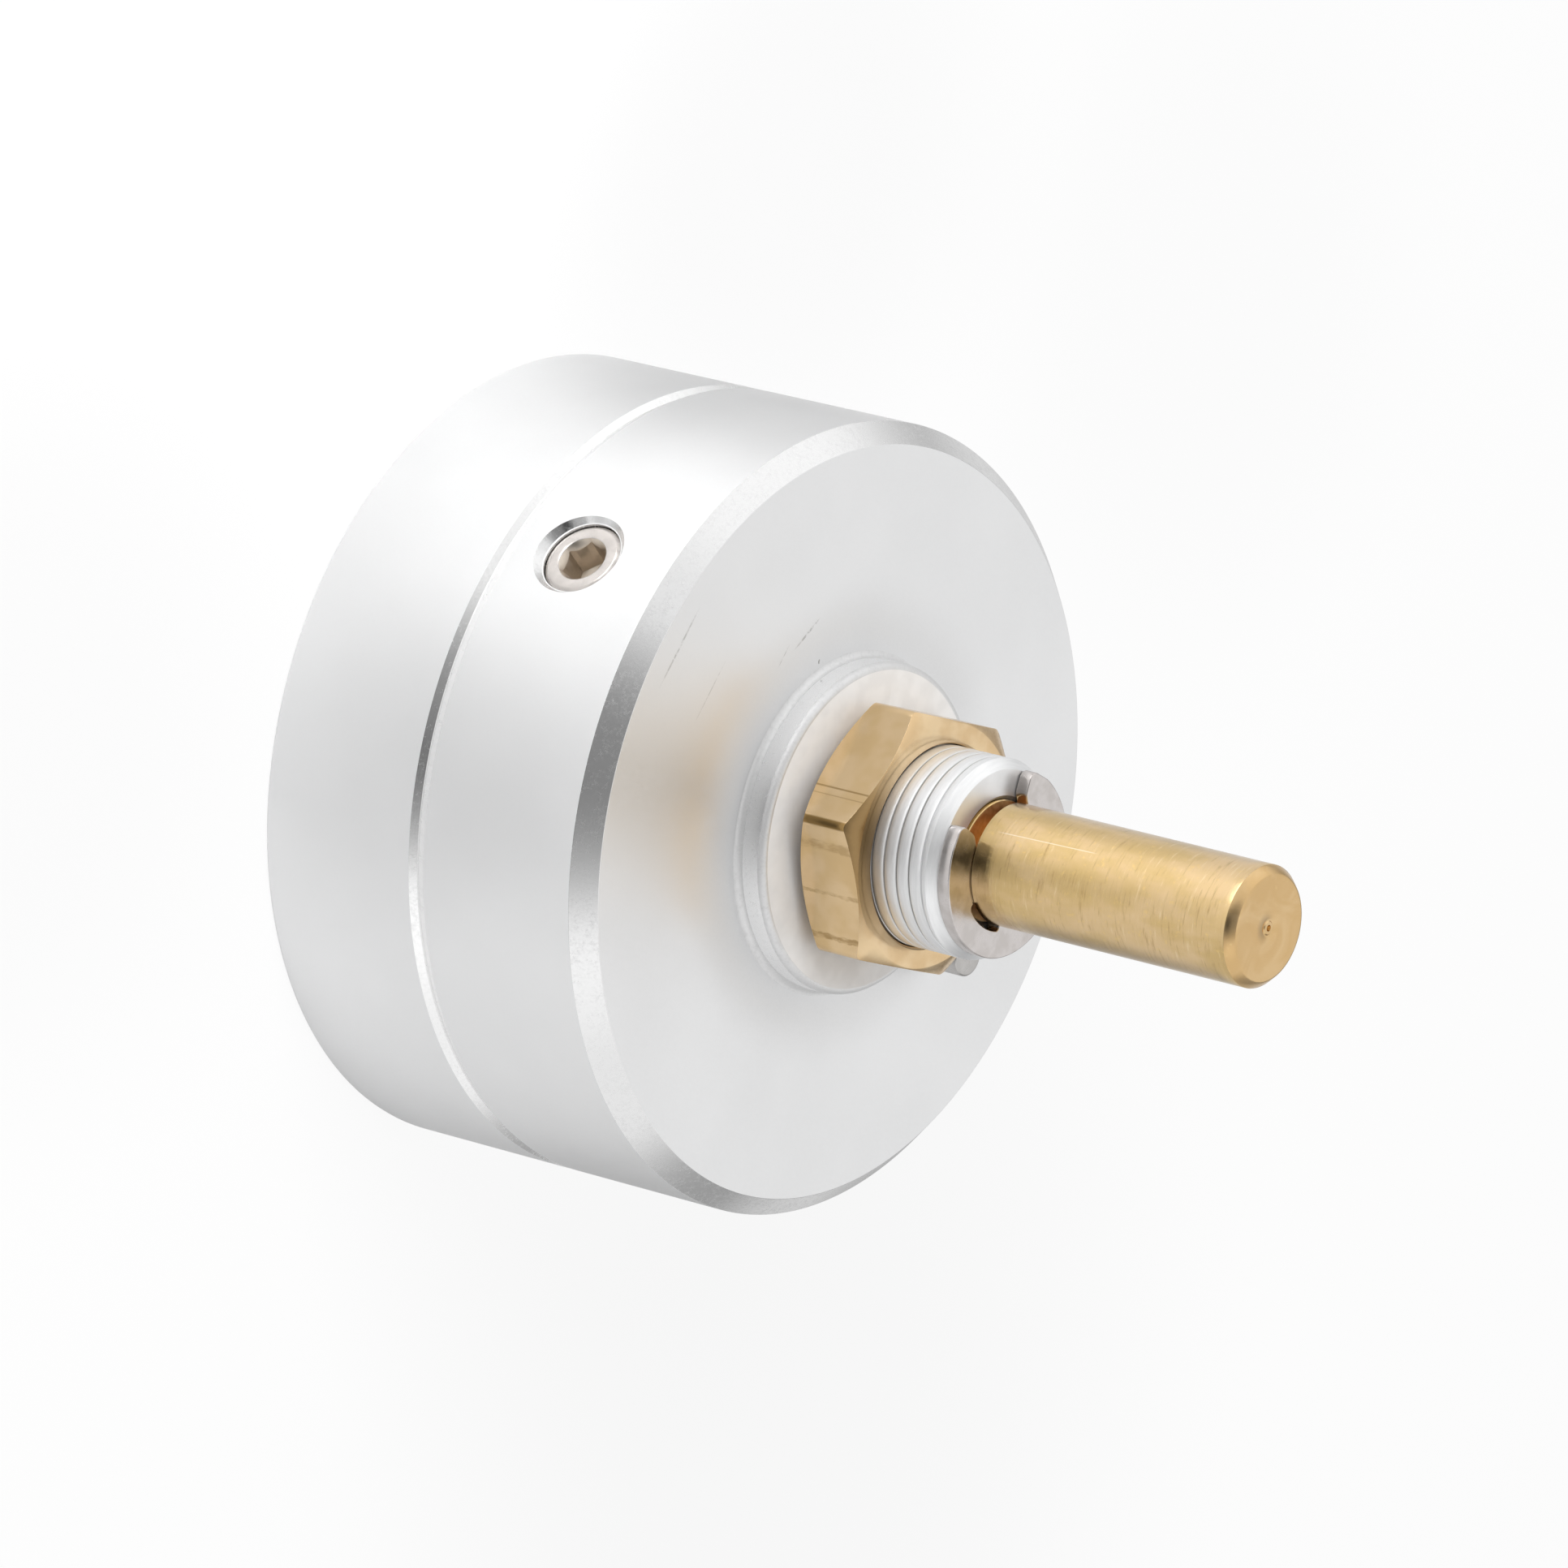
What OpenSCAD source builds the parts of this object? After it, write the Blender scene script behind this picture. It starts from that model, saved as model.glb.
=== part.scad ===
// Shielded rotary selector switch for panel mounting: 2 poles, 6 positions, 30 degrees apart.
// Origin: centre of the panel seat, the ring face that bears on the back of the panel.
// +Z runs along the shaft, out through the panel. +X points at the set screw beside the seam,
// and the locating pin stands on the -X side. The switch rests on its flat rear face.

/* [Housing] */
// Outside diameter of the turned housing
body_d = 39.2; // [39:0.2:48]
// Length of the front housing, from its front face to the seam
front_len = 10.55; // [10:0.05:14]
// Length of the rear cover, from the seam to the rear face
rear_len = 9.45; // [9:0.05:20]
// Thickness of the front wall
front_wall = 3; // [2.8:0.1:4]
// Thickness of the rear wall
rear_wall = 2.5; // [2:0.1:4]
// Thickness of the front housing's skirt
skirt_wall = 3.35; // [2.5:0.05:3.45]
// Thickness of the rear cover's spigot
spigot_wall = 1.4; // [1:0.1:1.5]
// Chamfer on the front edge
edge_chamfer = 1; // [0.3:0.1:1.6]
// Chamfer on each side of the seam, which together make its groove
seam_chamfer = 0.45; // [0.2:0.05:0.8]

/* [Panel seat and bush] */
// Diameter of the panel seat
seat_d = 16.4; // [14:0.2:17]
// Height of the panel seat above the front face
seat_h = 1.6; // [0.8:0.1:3]
// Fillet where the panel seat rises from the front face
seat_fillet = 0.35; // [0.1:0.05:0.6]
// Outside diameter of the M10 x 0.75 bush thread
bush_d = 9.9; // [9:0.1:12]
// Length of the bush beyond the panel seat
bush_len = 7.75; // [6:0.25:14]
// Chamfer at the end of the bush
bush_chamfer = 0.45; // [0.2:0.05:0.8]

/* [Nut] */
// Wall of the nut, from the thread to the middle of a flat
nut_wall = 1.15; // [1:0.05:3]
// Thickness of the nut
nut_t = 3.5; // [2:0.1:4.5]
// How far the nut stands off the panel seat
nut_gap = 0.6; // [0:0.1:1.5]
// Angle of one corner of the nut from +X
nut_turn = 30.5; // [0:0.5:60]

/* [Shaft] */
// Diameter of the shaft
shaft_d = 6; // [5:0.25:6.5]
// Length of the shaft beyond the panel seat
shaft_len = 24; // [14:0.5:50]
// Chamfer at the tip, across the radius
tip_chamfer = 0.4; // [0.2:0.1:0.8]
// Depth of the flat that drives the index wheel and the rotor
flat_depth = 0.8; // [0.4:0.1:1.2]

/* [Locating pin and set screws] */
// Diameter of the locating pin
locator_d = 2; // [1.5:0.1:3]
// Distance of the locating pin from the shaft axis
locator_r = 10.1; // [10:0.1:13]
// Height of the locating pin above the panel seat
locator_h = 1.2; // [0.6:0.1:3]
// Diameter of the set screws
grub_d = 4; // [3:0.5:4]
// Distance of the set screws behind the front face
grub_depth = 6.4; // [5.6:0.1:7]
// Hexagon socket of the set screws, across its flats
grub_socket = 2; // [1.5:0.5:2]

/* [Cable outlet] */
// Diameter of the opening through the grommet
outlet_d = 8; // [5:0.5:9]

/* [Switch deck] */
// Angle between two positions
step_angle = 30; // [24, 30]
// Number of positions of each pole
positions = 6; // [2:1:6]
// Thickness of the stator board
board_t = 1.5; // [1:0.1:2]
// Length of the spacers between the front wall and the board
spacer_len = 6.3; // [6.3:0.1:7.5]

/* [Clearances] */
// Radial clearance of the shaft in the bush
running_fit = 0.03; // [0.02:0.01:0.08]
// Radial clearance between fixed pieces that fit together
close_fit = 0.05; // [0.02:0.01:0.1]
// Axial play of the shaft and what turns with it
end_play = 0.05; // [0.03:0.01:0.15]
// Gap between the wipers and the contacts they sweep
sweep_gap = 0.03; // [0.02:0.01:0.06]

/* [Hidden] */
$fn = 96;
eps = 0.01;

// Housing, along the axis
front_z = -seat_h;
seam_z = front_z - front_len;
rear_z = seam_z - rear_len;
wall_z = front_z - front_wall;
floor_z = rear_z + rear_wall;
spigot_gap = 0.1;
edge_break = 0.2;

// Housing, across the axis
body_r = body_d / 2;
skirt_r = body_r - skirt_wall;
spigot_r = skirt_r - close_fit;
cavity_r = spigot_r - spigot_wall;
seat_r = seat_d / 2;
bush_r = bush_d / 2;
bush_bore_r = shaft_d / 2 + running_fit;
nut_af = bush_d + 2 * nut_wall;
nut_bevel = 0.35;
nut_rear_drop = 0.8;
nut_front_drop = 0.56;

// Locating pin
locator_shank_r = locator_d / 2 - 0.2;
locator_seat = 2.5;
locator_tip = 0.15;

// Set screws
grub_z = front_z - grub_depth;
grub_r = grub_d / 2;
grub_sink = 0.4;
grub_bevel = 0.35;
socket_depth = 1.4;
csk_r = grub_r + 0.37;

// Cable outlet and its grommet
outlet_r = outlet_d / 2;
grommet_neck_r = outlet_r + 1.95;
grommet_lip_r = outlet_r + 3.2;
grommet_flange_r = outlet_r + 3.9;
grommet_recess = 1.2;
grommet_lip = 1.2;
grommet_inset = 0.1;

// Shaft grooves and clips: 4 mm groove, 0.7 mm clip
shaft_r = shaft_d / 2;
groove_r = shaft_r - 1;
clip_t = 0.7;
clip_r = shaft_r + 1.65;
clip_play = 0.02;
clip_mouth = 75;
clip_relief_turn = 128;
clip_relief_span = 25;
clip_relief_gap = 0.3;
front_clip_z = bush_len + end_play;
front_clip_turn = -25;

// What turns inside the case, stacked rearward from the front wall
washer_t = 0.4;
washer_r = 5;
wheel_t = 2;
rotor_len = 3.2;
washer_z = wall_z - end_play;
wheel_z = washer_z - washer_t;
rotor_z = wheel_z - wheel_t;
rotor_clip_z = rotor_z - rotor_len - clip_play;
shaft_tail = 0.8;
shaft_end_z = rotor_clip_z - clip_t - shaft_tail;
flat_x = shaft_r - flat_depth;

// Index wheel: one notch for each step of a full turn, and a slot that limits the travel
wheel_r = 9;
notch_r = 1.5;
notch_pitch_r = 9.9;
travel = step_angle * (positions - 1);
stop_pitch_r = 6.3;
stop_pin_r = 0.75;
stop_slot_r = stop_pin_r + 0.1;
stop_end_angle = asin(stop_slot_r / stop_pitch_r);
stop_turn = 90;
stop_seat = 1.8;
stop_reach = 0.2;

// Leaf spring with its nose in a notch, hooked round two headed posts
leaf_t = 0.25;
leaf_h = 1.6;
leaf_z = wheel_z - 0.2 - leaf_h;
post_r = 1;
post_x = 10.95;
post_y = 7;
post_seat = 2;
post_head_r = 1.5;
post_head_t = 0.6;
hook_r = post_r + close_fit;
leaf_x = post_x - hook_r - leaf_t;
nose_r = 1.4;
nose_x = notch_pitch_r - 0.03;

// Rotor and wipers
rotor_hub_r = shaft_r + 1.6;
rotor_disc_r = 10;
rotor_disc_t = 1.2;
rotor_disc_z = rotor_z - 1.15;
wiper_t = 0.2;
wiper_w = 1.8;
stake_r = 0.5;

// Stator board, held on two screws through spacers
board_z = wall_z - spacer_len;
board_back_z = board_z - board_t;
board_r = cavity_r - 0.3;
board_hole_r = clip_r + 0.75;
deck_turn = 3.5 * step_angle;
spacer_r = 1.8;
deck_r = cavity_r - spacer_r - 0.4;
screw_r = 1;
screw_seat = 2;
screw_head_r = 1.75;
screw_head_t = 1.2;
deck_washer_t = 0.3;

// Contacts: 0.3 mm strip with a tail through the board
strip_t = 0.3;
tail_w = 1.6;
tail_len = 2.5;
eyelet_r = 0.45;
contact_in_r = 7.9;
contact_out_r = 11;
contact_w = 2.6;
ring_in_r = 5.9;
ring_out_r = 7.1;
ring_margin = 12;
pad_z = board_z + strip_t;
sweep_r = (ring_in_r + ring_out_r) / 2;
touch_r = (contact_in_r + contact_out_r) / 2 - 0.45;

// A cylinder of radius r between two heights
module rod(r, z0, z1) {
    translate([0, 0, min(z0, z1)]) cylinder(r = r, h = abs(z1 - z0));
}

// A tube between two heights
module tube(r_out, r_in, z0, z1) {
    difference() {
        rod(r_out, z0, z1);
        rod(r_in, min(z0, z1) - eps, max(z0, z1) + eps);
    }
}

// A box centred on y = 0, from x0 to x1 and z0 to z1
module bar(x0, x1, w, z0, z1) {
    translate([x0, -w / 2, min(z0, z1)]) cube([x1 - x0, w, abs(z1 - z0)]);
}

// A flat sector of a disc, from angle a0 to angle a1, in steps of at most 15 degrees
function sector_points(r, a0, a1) =
    let (n = ceil((a1 - a0) / 15))
    [for (i = [0 : n]) let (a = a0 + (a1 - a0) * i / n) r * [cos(a), sin(a)] / cos((a1 - a0) / n / 2)];

module sector(r, a0, a1) {
    polygon(concat([[0, 0]], sector_points(r, a0, a1)));
}

// A flat arc of a ring
module arc_ring(r_in, r_out, a0, a1) {
    intersection() {
        difference() {
            circle(r_out);
            circle(r_in);
        }
        sector(r_out + 1, a0, a1);
    }
}

// The shaft's section where its flat is, grown by a clearance
module flatted(clearance) {
    difference() {
        circle(shaft_r + clearance);
        translate([flat_x + clearance, -shaft_r * 2]) square(shaft_r * 4);
    }
}

// Retaining clip for a shaft groove: a ring with a wide mouth that grips the groove at three places
module e_clip() {
    grip_r = groove_r + close_fit;
    relief_r = shaft_r + clip_relief_gap;
    linear_extrude(clip_t) difference() {
        circle(clip_r);
        circle(grip_r);
        translate([0, -grip_r]) square([clip_r + 1, 2 * grip_r]);
        sector(clip_r + 1, -clip_mouth / 2, clip_mouth / 2);
        for (side = [-1, 1]) rotate(side * clip_relief_turn)
            arc_ring(0, relief_r, -clip_relief_span, clip_relief_span);
    }
}

// Both places of something held on the deck screws, midway between two contacts
module on_deck_screws() {
    for (side = [0, 180]) rotate(side + deck_turn) translate([deck_r, 0, 0]) children();
}

// Both places of a spring post
module on_spring_posts() {
    for (side = [-1, 1]) translate([post_x, side * post_y, 0]) children();
}

// Both places of a set screw, with its axis along +Z and its outer end up
module on_set_screws() {
    for (a = [0, 180]) rotate(a) translate([0, 0, grub_z]) rotate([0, 90, 0]) children();
}

// Front half of the case: front wall, panel seat, threaded bush and skirt in one turned piece
module front_housing() {
    color("gainsboro") difference() {
        union() {
            rotate_extrude() polygon([
                [bush_bore_r, wall_z],
                [skirt_r, wall_z],
                [skirt_r, seam_z],
                [body_r - seam_chamfer, seam_z],
                [body_r, seam_z + seam_chamfer],
                [body_r, front_z - edge_chamfer],
                [body_r - edge_chamfer, front_z],
                [seat_r, front_z],
                [seat_r, -edge_break],
                [seat_r - edge_break, 0],
                [bush_r, 0],
                [bush_r, bush_len - bush_chamfer],
                [bush_r - bush_chamfer, bush_len],
                [bush_bore_r, bush_len]
            ]);
            seat_fillet_ring();
        }
        on_set_screws() {
            rod(grub_r + close_fit, skirt_r - 1, body_r + 1);
            translate([0, 0, body_r - grub_sink]) cylinder(r1 = grub_r, r2 = csk_r, h = grub_sink + eps);
        }
        translate([-locator_r, 0, 0]) rod(locator_shank_r, front_z + eps, front_z - locator_seat);
        rotate(stop_turn) translate([stop_pitch_r, 0, 0]) rod(stop_pin_r, wall_z - eps, wall_z + stop_seat);
        on_spring_posts() rod(post_r, wall_z - eps, wall_z + post_seat);
        on_deck_screws() rod(screw_r, wall_z - eps, wall_z + screw_seat);
    }
}

module seat_fillet_ring() {
    rotate_extrude() translate([seat_r - eps, front_z - eps]) difference() {
        square(seat_fillet + eps);
        translate([seat_fillet + eps, seat_fillet + eps]) circle(seat_fillet);
    }
}

// Rear half of the case: a turned cup whose spigot slides into the skirt of the front half
module rear_cover() {
    spigot_z = wall_z - spigot_gap;
    recess_r = grommet_flange_r + 0.1;
    color("gainsboro") rotate_extrude() polygon([
        [grommet_neck_r + close_fit, floor_z],
        [grommet_neck_r + close_fit, rear_z + grommet_recess],
        [recess_r, rear_z + grommet_recess],
        [recess_r, rear_z],
        [body_r - edge_break, rear_z],
        [body_r, rear_z + edge_break],
        [body_r, seam_z - seam_chamfer],
        [body_r - seam_chamfer, seam_z],
        [spigot_r, seam_z],
        [spigot_r, spigot_z - edge_break],
        [spigot_r - edge_break, spigot_z],
        [cavity_r, spigot_z],
        [cavity_r, floor_z]
    ]);
}

// Rubber grommet that lines the cable outlet, flush with the rear face
module cable_grommet() {
    outer_z = rear_z + grommet_inset;
    flange_z = rear_z + grommet_recess;
    color("dimgray") rotate_extrude() polygon([
        [outlet_r, outer_z],
        [grommet_flange_r, outer_z],
        [grommet_flange_r, flange_z],
        [grommet_neck_r, flange_z],
        [grommet_neck_r, floor_z],
        [grommet_lip_r, floor_z],
        [grommet_lip_r - 0.4, floor_z + grommet_lip],
        [outlet_r, floor_z + grommet_lip]
    ]);
}

// Two grub screws that hold the halves of the case together, bearing on the spigot
module set_screws() {
    outer_z = body_r - grub_sink;
    color("darkgray") on_set_screws() difference() {
        rotate_extrude() polygon([
            [0, spigot_r],
            [grub_r - grub_bevel, spigot_r],
            [grub_r, spigot_r + grub_bevel],
            [grub_r, outer_z - grub_bevel],
            [grub_r - grub_bevel, outer_z],
            [0, outer_z]
        ]);
        translate([0, 0, outer_z - socket_depth])
            cylinder(d = grub_socket / cos(30), h = socket_depth + eps, $fn = 6);
    }
}

// Pin that stops the switch turning in the panel, shouldered on the front face
module locating_pin() {
    color("silver") translate([-locator_r, 0, 0]) {
        rotate_extrude() polygon([
            [0, front_z - locator_seat],
            [locator_shank_r, front_z - locator_seat],
            [locator_shank_r, front_z],
            [locator_d / 2, front_z],
            [locator_d / 2, locator_h - locator_tip],
            [locator_d / 2 - locator_tip, locator_h],
            [0, locator_h]
        ]);
    }
}

// Hexagon nut, chamfered on both faces
module hex_nut() {
    corner_r = nut_af / 2 / cos(30);
    face_r = nut_af / 2 - nut_bevel;
    color("burlywood") translate([0, 0, nut_gap]) difference() {
        intersection() {
            rotate(nut_turn) cylinder(r = corner_r, h = nut_t, $fn = 6);
            rotate_extrude() polygon([
                [0, 0],
                [face_r, 0],
                [corner_r + eps, nut_rear_drop],
                [corner_r + eps, nut_t - nut_front_drop],
                [face_r, nut_t],
                [0, nut_t]
            ]);
        }
        rod(bush_r + close_fit, -eps, nut_t + eps);
    }
}

// Brass shaft, with a groove for each clip and a flat along its inner end
module shaft() {
    groove_w = clip_t + 2 * clip_play;
    color("darkgoldenrod") difference() {
        rotate_extrude() polygon([
            [0, shaft_end_z],
            [shaft_r - tip_chamfer, shaft_end_z],
            [shaft_r, shaft_end_z + tip_chamfer],
            [shaft_r, rotor_clip_z - clip_t - clip_play],
            [groove_r, rotor_clip_z - clip_t - clip_play],
            [groove_r, rotor_clip_z - clip_t - clip_play + groove_w],
            [shaft_r, rotor_clip_z - clip_t - clip_play + groove_w],
            [shaft_r, front_clip_z - clip_play],
            [groove_r, front_clip_z - clip_play],
            [groove_r, front_clip_z - clip_play + groove_w],
            [shaft_r, front_clip_z - clip_play + groove_w],
            [shaft_r, shaft_len - tip_chamfer],
            [shaft_r - tip_chamfer, shaft_len],
            [0, shaft_len]
        ]);
        translate([flat_x, -shaft_r, shaft_end_z - eps]) cube([shaft_r, 2 * shaft_r, wheel_z - shaft_end_z + eps]);
    }
}

// Clip that stops the shaft being pushed in
module retaining_clip() {
    color("silver") translate([0, 0, front_clip_z]) rotate(front_clip_turn) e_clip();
}

// Clip that holds the rotor on the inner end of the shaft
module rotor_clip() {
    color("silver") translate([0, 0, rotor_clip_z - clip_t]) rotate(180) e_clip();
}

module thrust_washer() {
    color("peru") tube(washer_r, shaft_r + close_fit, washer_z, washer_z - washer_t);
}

// Notched wheel that gives the positions, with the slot that the stop pin runs in
module index_wheel() {
    color("khaki") translate([0, 0, wheel_z - wheel_t]) linear_extrude(wheel_t) difference() {
        circle(wheel_r);
        flatted(close_fit);
        for (a = [0 : step_angle : 359]) rotate(a) translate([notch_pitch_r, 0]) circle(notch_r);
        rotate(stop_turn) arc_ring(
            stop_pitch_r - stop_slot_r, stop_pitch_r + stop_slot_r,
            -travel - stop_end_angle, stop_end_angle
        );
    }
}

// Moulded rotor that carries the two wipers
module rotor() {
    color("ivory") {
        difference() {
            union() {
                rod(rotor_hub_r, rotor_z, rotor_z - rotor_len);
                rod(rotor_disc_r, rotor_disc_z, rotor_disc_z - rotor_disc_t);
                for (a = [0, 180]) rotate(a) translate([wiper_mid_r, 0, 0])
                    rod(stake_r, rotor_disc_z - rotor_disc_t + eps, wiper_z - wiper_t - 0.15);
            }
            translate([0, 0, rotor_z - rotor_len - eps]) linear_extrude(rotor_len + 2 * eps) flatted(close_fit);
        }
    }
}

// Spring wiper: a strip bent down at both ends, bridging a pole ring and one contact
wiper_z = rotor_disc_z - rotor_disc_t;
wiper_mid_r = (sweep_r + touch_r) / 2;
module wiper(turn) {
    foot_z = pad_z + sweep_gap;
    toe = 0.5;
    shoulder = 0.35;
    color("gold") rotate(turn) difference() {
        translate([0, wiper_w / 2, 0]) rotate([90, 0, 0]) linear_extrude(wiper_w) polygon([
            [sweep_r - toe, foot_z + wiper_t],
            [sweep_r - toe, foot_z],
            [sweep_r + toe, foot_z],
            [wiper_mid_r - shoulder, wiper_z - wiper_t],
            [wiper_mid_r + shoulder, wiper_z - wiper_t],
            [touch_r - toe, foot_z],
            [touch_r + toe, foot_z],
            [touch_r + toe, foot_z + wiper_t],
            [touch_r - toe + wiper_t, foot_z + wiper_t],
            [wiper_mid_r + shoulder + wiper_t, wiper_z],
            [wiper_mid_r - shoulder - wiper_t, wiper_z],
            [sweep_r + toe - wiper_t, foot_z + wiper_t]
        ]);
        translate([wiper_mid_r, 0, 0]) rod(stake_r, foot_z - 1, wiper_z + 1);
    }
}

module wiper_a() {
    wiper(0);
}

module wiper_b() {
    wiper(180);
}

// Leaf spring whose round nose drops into the notches
module detent_spring() {
    color("lightsteelblue") translate([0, 0, leaf_z]) linear_extrude(leaf_h) {
        difference() {
            translate([leaf_x, -post_y]) square([leaf_t, 2 * post_y]);
            translate([nose_x, 0]) circle(nose_r - leaf_t / 2);
        }
        intersection() {
            translate([nose_x, 0]) difference() {
                circle(nose_r);
                circle(nose_r - leaf_t);
            }
            translate([nose_x - 2 * nose_r, -2 * nose_r]) square([2 * nose_r - nose_x + leaf_x + leaf_t, 4 * nose_r]);
        }
        for (side = [-1, 1]) translate([post_x, side * post_y]) intersection() {
            difference() {
                circle(hook_r + leaf_t);
                circle(hook_r);
            }
            translate([-2 * post_r, side > 0 ? 0 : -2 * post_r]) square([4 * post_r, 2 * post_r]);
        }
    }
}

// Headed posts pressed into the front wall, which carry the leaf spring
module spring_posts() {
    color("silver") on_spring_posts() {
        rod(post_r, leaf_z - 0.05, wall_z + post_seat);
        rod(post_head_r, leaf_z - 0.05 - post_head_t, leaf_z - 0.05);
    }
}

// Pin that runs in the index wheel's slot and stops it at both ends
module stop_pin() {
    color("silver") rotate(stop_turn) translate([stop_pitch_r, 0, 0])
        rod(stop_pin_r, wheel_z - wheel_t + stop_reach, wall_z + stop_seat);
}

// Where each contact stands, as an angle from +X
function contact_turn(pole, position) = 180 * pole + step_angle * position;

// Middle of each pole's ring, where its tail goes through the board
function ring_turn(pole) = 180 * pole + travel / 2;

// The opening in the board for one tail
module tail_slot(r_out) {
    bar(r_out - strip_t - close_fit, r_out + close_fit, tail_w + 2 * close_fit, board_back_z - 1, board_z + 1);
}

// A solder tail through the board, with its eyelet
module tail(r_out) {
    difference() {
        bar(r_out - strip_t, r_out, tail_w, board_back_z - tail_len, pad_z);
        translate([r_out - strip_t - 1, 0, board_back_z - tail_len + tail_w / 2])
            rotate([0, 90, 0]) cylinder(r = eyelet_r, h = strip_t + 2);
    }
}

// Insulating board that carries the contacts
module stator_board() {
    color("peru") difference() {
        tube(board_r, board_hole_r, board_z, board_back_z);
        on_deck_screws() rod(screw_r + close_fit, board_back_z - 1, board_z + 1);
        for (pole = [0, 1]) {
            rotate(ring_turn(pole)) tail_slot(sweep_r + strip_t / 2);
            for (i = [0 : positions - 1]) rotate(contact_turn(pole, i)) tail_slot(contact_out_r);
        }
    }
}

// One fixed contact: a pad on the board and a tail through it
module contact(pole, position) {
    color("lightgray") rotate(contact_turn(pole, position)) {
        bar(contact_in_r, contact_out_r, contact_w, board_z, pad_z);
        tail(contact_out_r);
    }
}

// Common ring of one pole, swept by the wiper in every position
module pole_ring(pole) {
    a0 = 180 * pole - ring_margin;
    a1 = 180 * pole + min(travel + ring_margin, 180 - ring_margin - 6);
    color("lightgray") {
        translate([0, 0, board_z]) linear_extrude(strip_t) arc_ring(ring_in_r, ring_out_r, a0, a1);
        rotate(ring_turn(pole)) tail(sweep_r + strip_t / 2);
    }
}

module pole_ring_a() {
    pole_ring(0);
}

module pole_ring_b() {
    pole_ring(1);
}

// Spacers between the front wall and the board
module deck_spacers() {
    color("silver") on_deck_screws() tube(spacer_r, screw_r + close_fit, wall_z, board_z);
}

module deck_washers() {
    color("silver") on_deck_screws() tube(screw_head_r, screw_r + close_fit, board_back_z, board_back_z - deck_washer_t);
}

// M2 screws from the back of the board into the front wall
module deck_screws() {
    head_z = board_back_z - deck_washer_t;
    color("silver") on_deck_screws() difference() {
        union() {
            rod(screw_r, head_z, wall_z + screw_seat);
            rod(screw_head_r, head_z - screw_head_t, head_z);
        }
        for (a = [0, 90]) rotate(a) bar(-1, 1, 0.4, head_z - screw_head_t - eps, head_z - 0.5);
    }
}

front_housing();
rear_cover();
cable_grommet();
set_screws();
locating_pin();
hex_nut();
shaft();
retaining_clip();
thrust_washer();
index_wheel();
rotor();
wiper_a();
wiper_b();
rotor_clip();
detent_spring();
spring_posts();
stop_pin();
stator_board();
deck_spacers();
deck_washers();
deck_screws();
pole_ring_a();
pole_ring_b();
for (i = [0 : positions - 1]) {
    contact(0, i);
    contact(1, i);
}
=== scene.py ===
# Shielded rotary selector switch on a plain pale floor, seen from the photograph's viewing angle.
# Lengths below are in millimetres unless a comment says otherwise.
# Meshes are scaled to metres as they are made.
import math

import bmesh
import bpy
import numpy as np
from mathutils import Matrix, Vector


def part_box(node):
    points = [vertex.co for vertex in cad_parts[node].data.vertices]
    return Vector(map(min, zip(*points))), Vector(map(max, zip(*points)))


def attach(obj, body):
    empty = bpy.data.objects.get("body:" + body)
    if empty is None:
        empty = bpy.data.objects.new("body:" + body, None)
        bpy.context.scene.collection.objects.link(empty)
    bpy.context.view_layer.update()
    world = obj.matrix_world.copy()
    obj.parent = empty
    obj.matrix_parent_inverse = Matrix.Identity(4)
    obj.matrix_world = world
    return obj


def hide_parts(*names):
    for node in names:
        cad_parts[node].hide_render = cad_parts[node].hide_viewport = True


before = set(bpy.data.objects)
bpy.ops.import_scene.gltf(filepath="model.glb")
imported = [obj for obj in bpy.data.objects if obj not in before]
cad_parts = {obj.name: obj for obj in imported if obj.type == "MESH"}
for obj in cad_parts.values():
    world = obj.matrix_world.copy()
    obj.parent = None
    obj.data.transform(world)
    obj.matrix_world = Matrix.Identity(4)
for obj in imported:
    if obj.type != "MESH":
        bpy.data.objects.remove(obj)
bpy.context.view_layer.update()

MM = 0.001
TURN = 2 * math.pi


# ---------------------------------------------------------------- sizes, from the frame

def node_box(node):
    """Lowest and highest corner of a CAD node, in millimetres to the nearest hundredth."""
    low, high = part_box(node)
    return [round(v / MM, 2) for v in low], [round(v / MM, 2) for v in high]


front_low, front_high = node_box("front_housing")
rear_low, rear_high = node_box("rear_cover")
nut_low, nut_high = node_box("hex_nut")
shaft_low, shaft_high = node_box("shaft")
clip_low, clip_high = node_box("retaining_clip")
pin_low, pin_high = node_box("locating_pin")
screws_low, screws_high = node_box("set_screws")
grommet_low, grommet_high = node_box("cable_grommet")
INNER_CLIP_Z = node_box("rotor_clip")[0][2]
WHEEL_FRONT_Z = node_box("index_wheel")[1][2]

# The case: the panel seat's face is at height 0, and the shaft points up
SPIGOT_GAP = 0.1
FRONT_WALL = 3
REAR_WALL = 2.5
GROMMET_RECESS = 1.2
BODY_R = front_high[0]
SEAM_Z = front_low[2]
BUSH_END = front_high[2]
REAR_Z = rear_low[2]
CUP_FLOOR_Z = REAR_Z + REAR_WALL
RECESS_Z = REAR_Z + GROMMET_RECESS
SPIGOT_END = rear_high[2]
WALL_Z = SPIGOT_END + SPIGOT_GAP
FACE_Z = WALL_Z + FRONT_WALL
SEAT_R = 8.2
BUSH_R = 4.95
BORE_R = 3.03
SKIRT_R = 16.25
SPIGOT_R = 16.2
CAVITY_R = 14.8
EDGE_CHAMFER = 1
SEAT_FILLET = 0.34
# The groove at the seam: the cover's chamfer, and the step and land on the housing above it
SEAM_GAP = 0.08
SEAM_CHAMFER = 0.3
SEAM_STEP = 0.3
SEAM_LAND = 0.54
BUSH_CHAMFER = 0.45
THREAD_PITCH = 0.75
THREAD_DEPTH = 0.15

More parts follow.
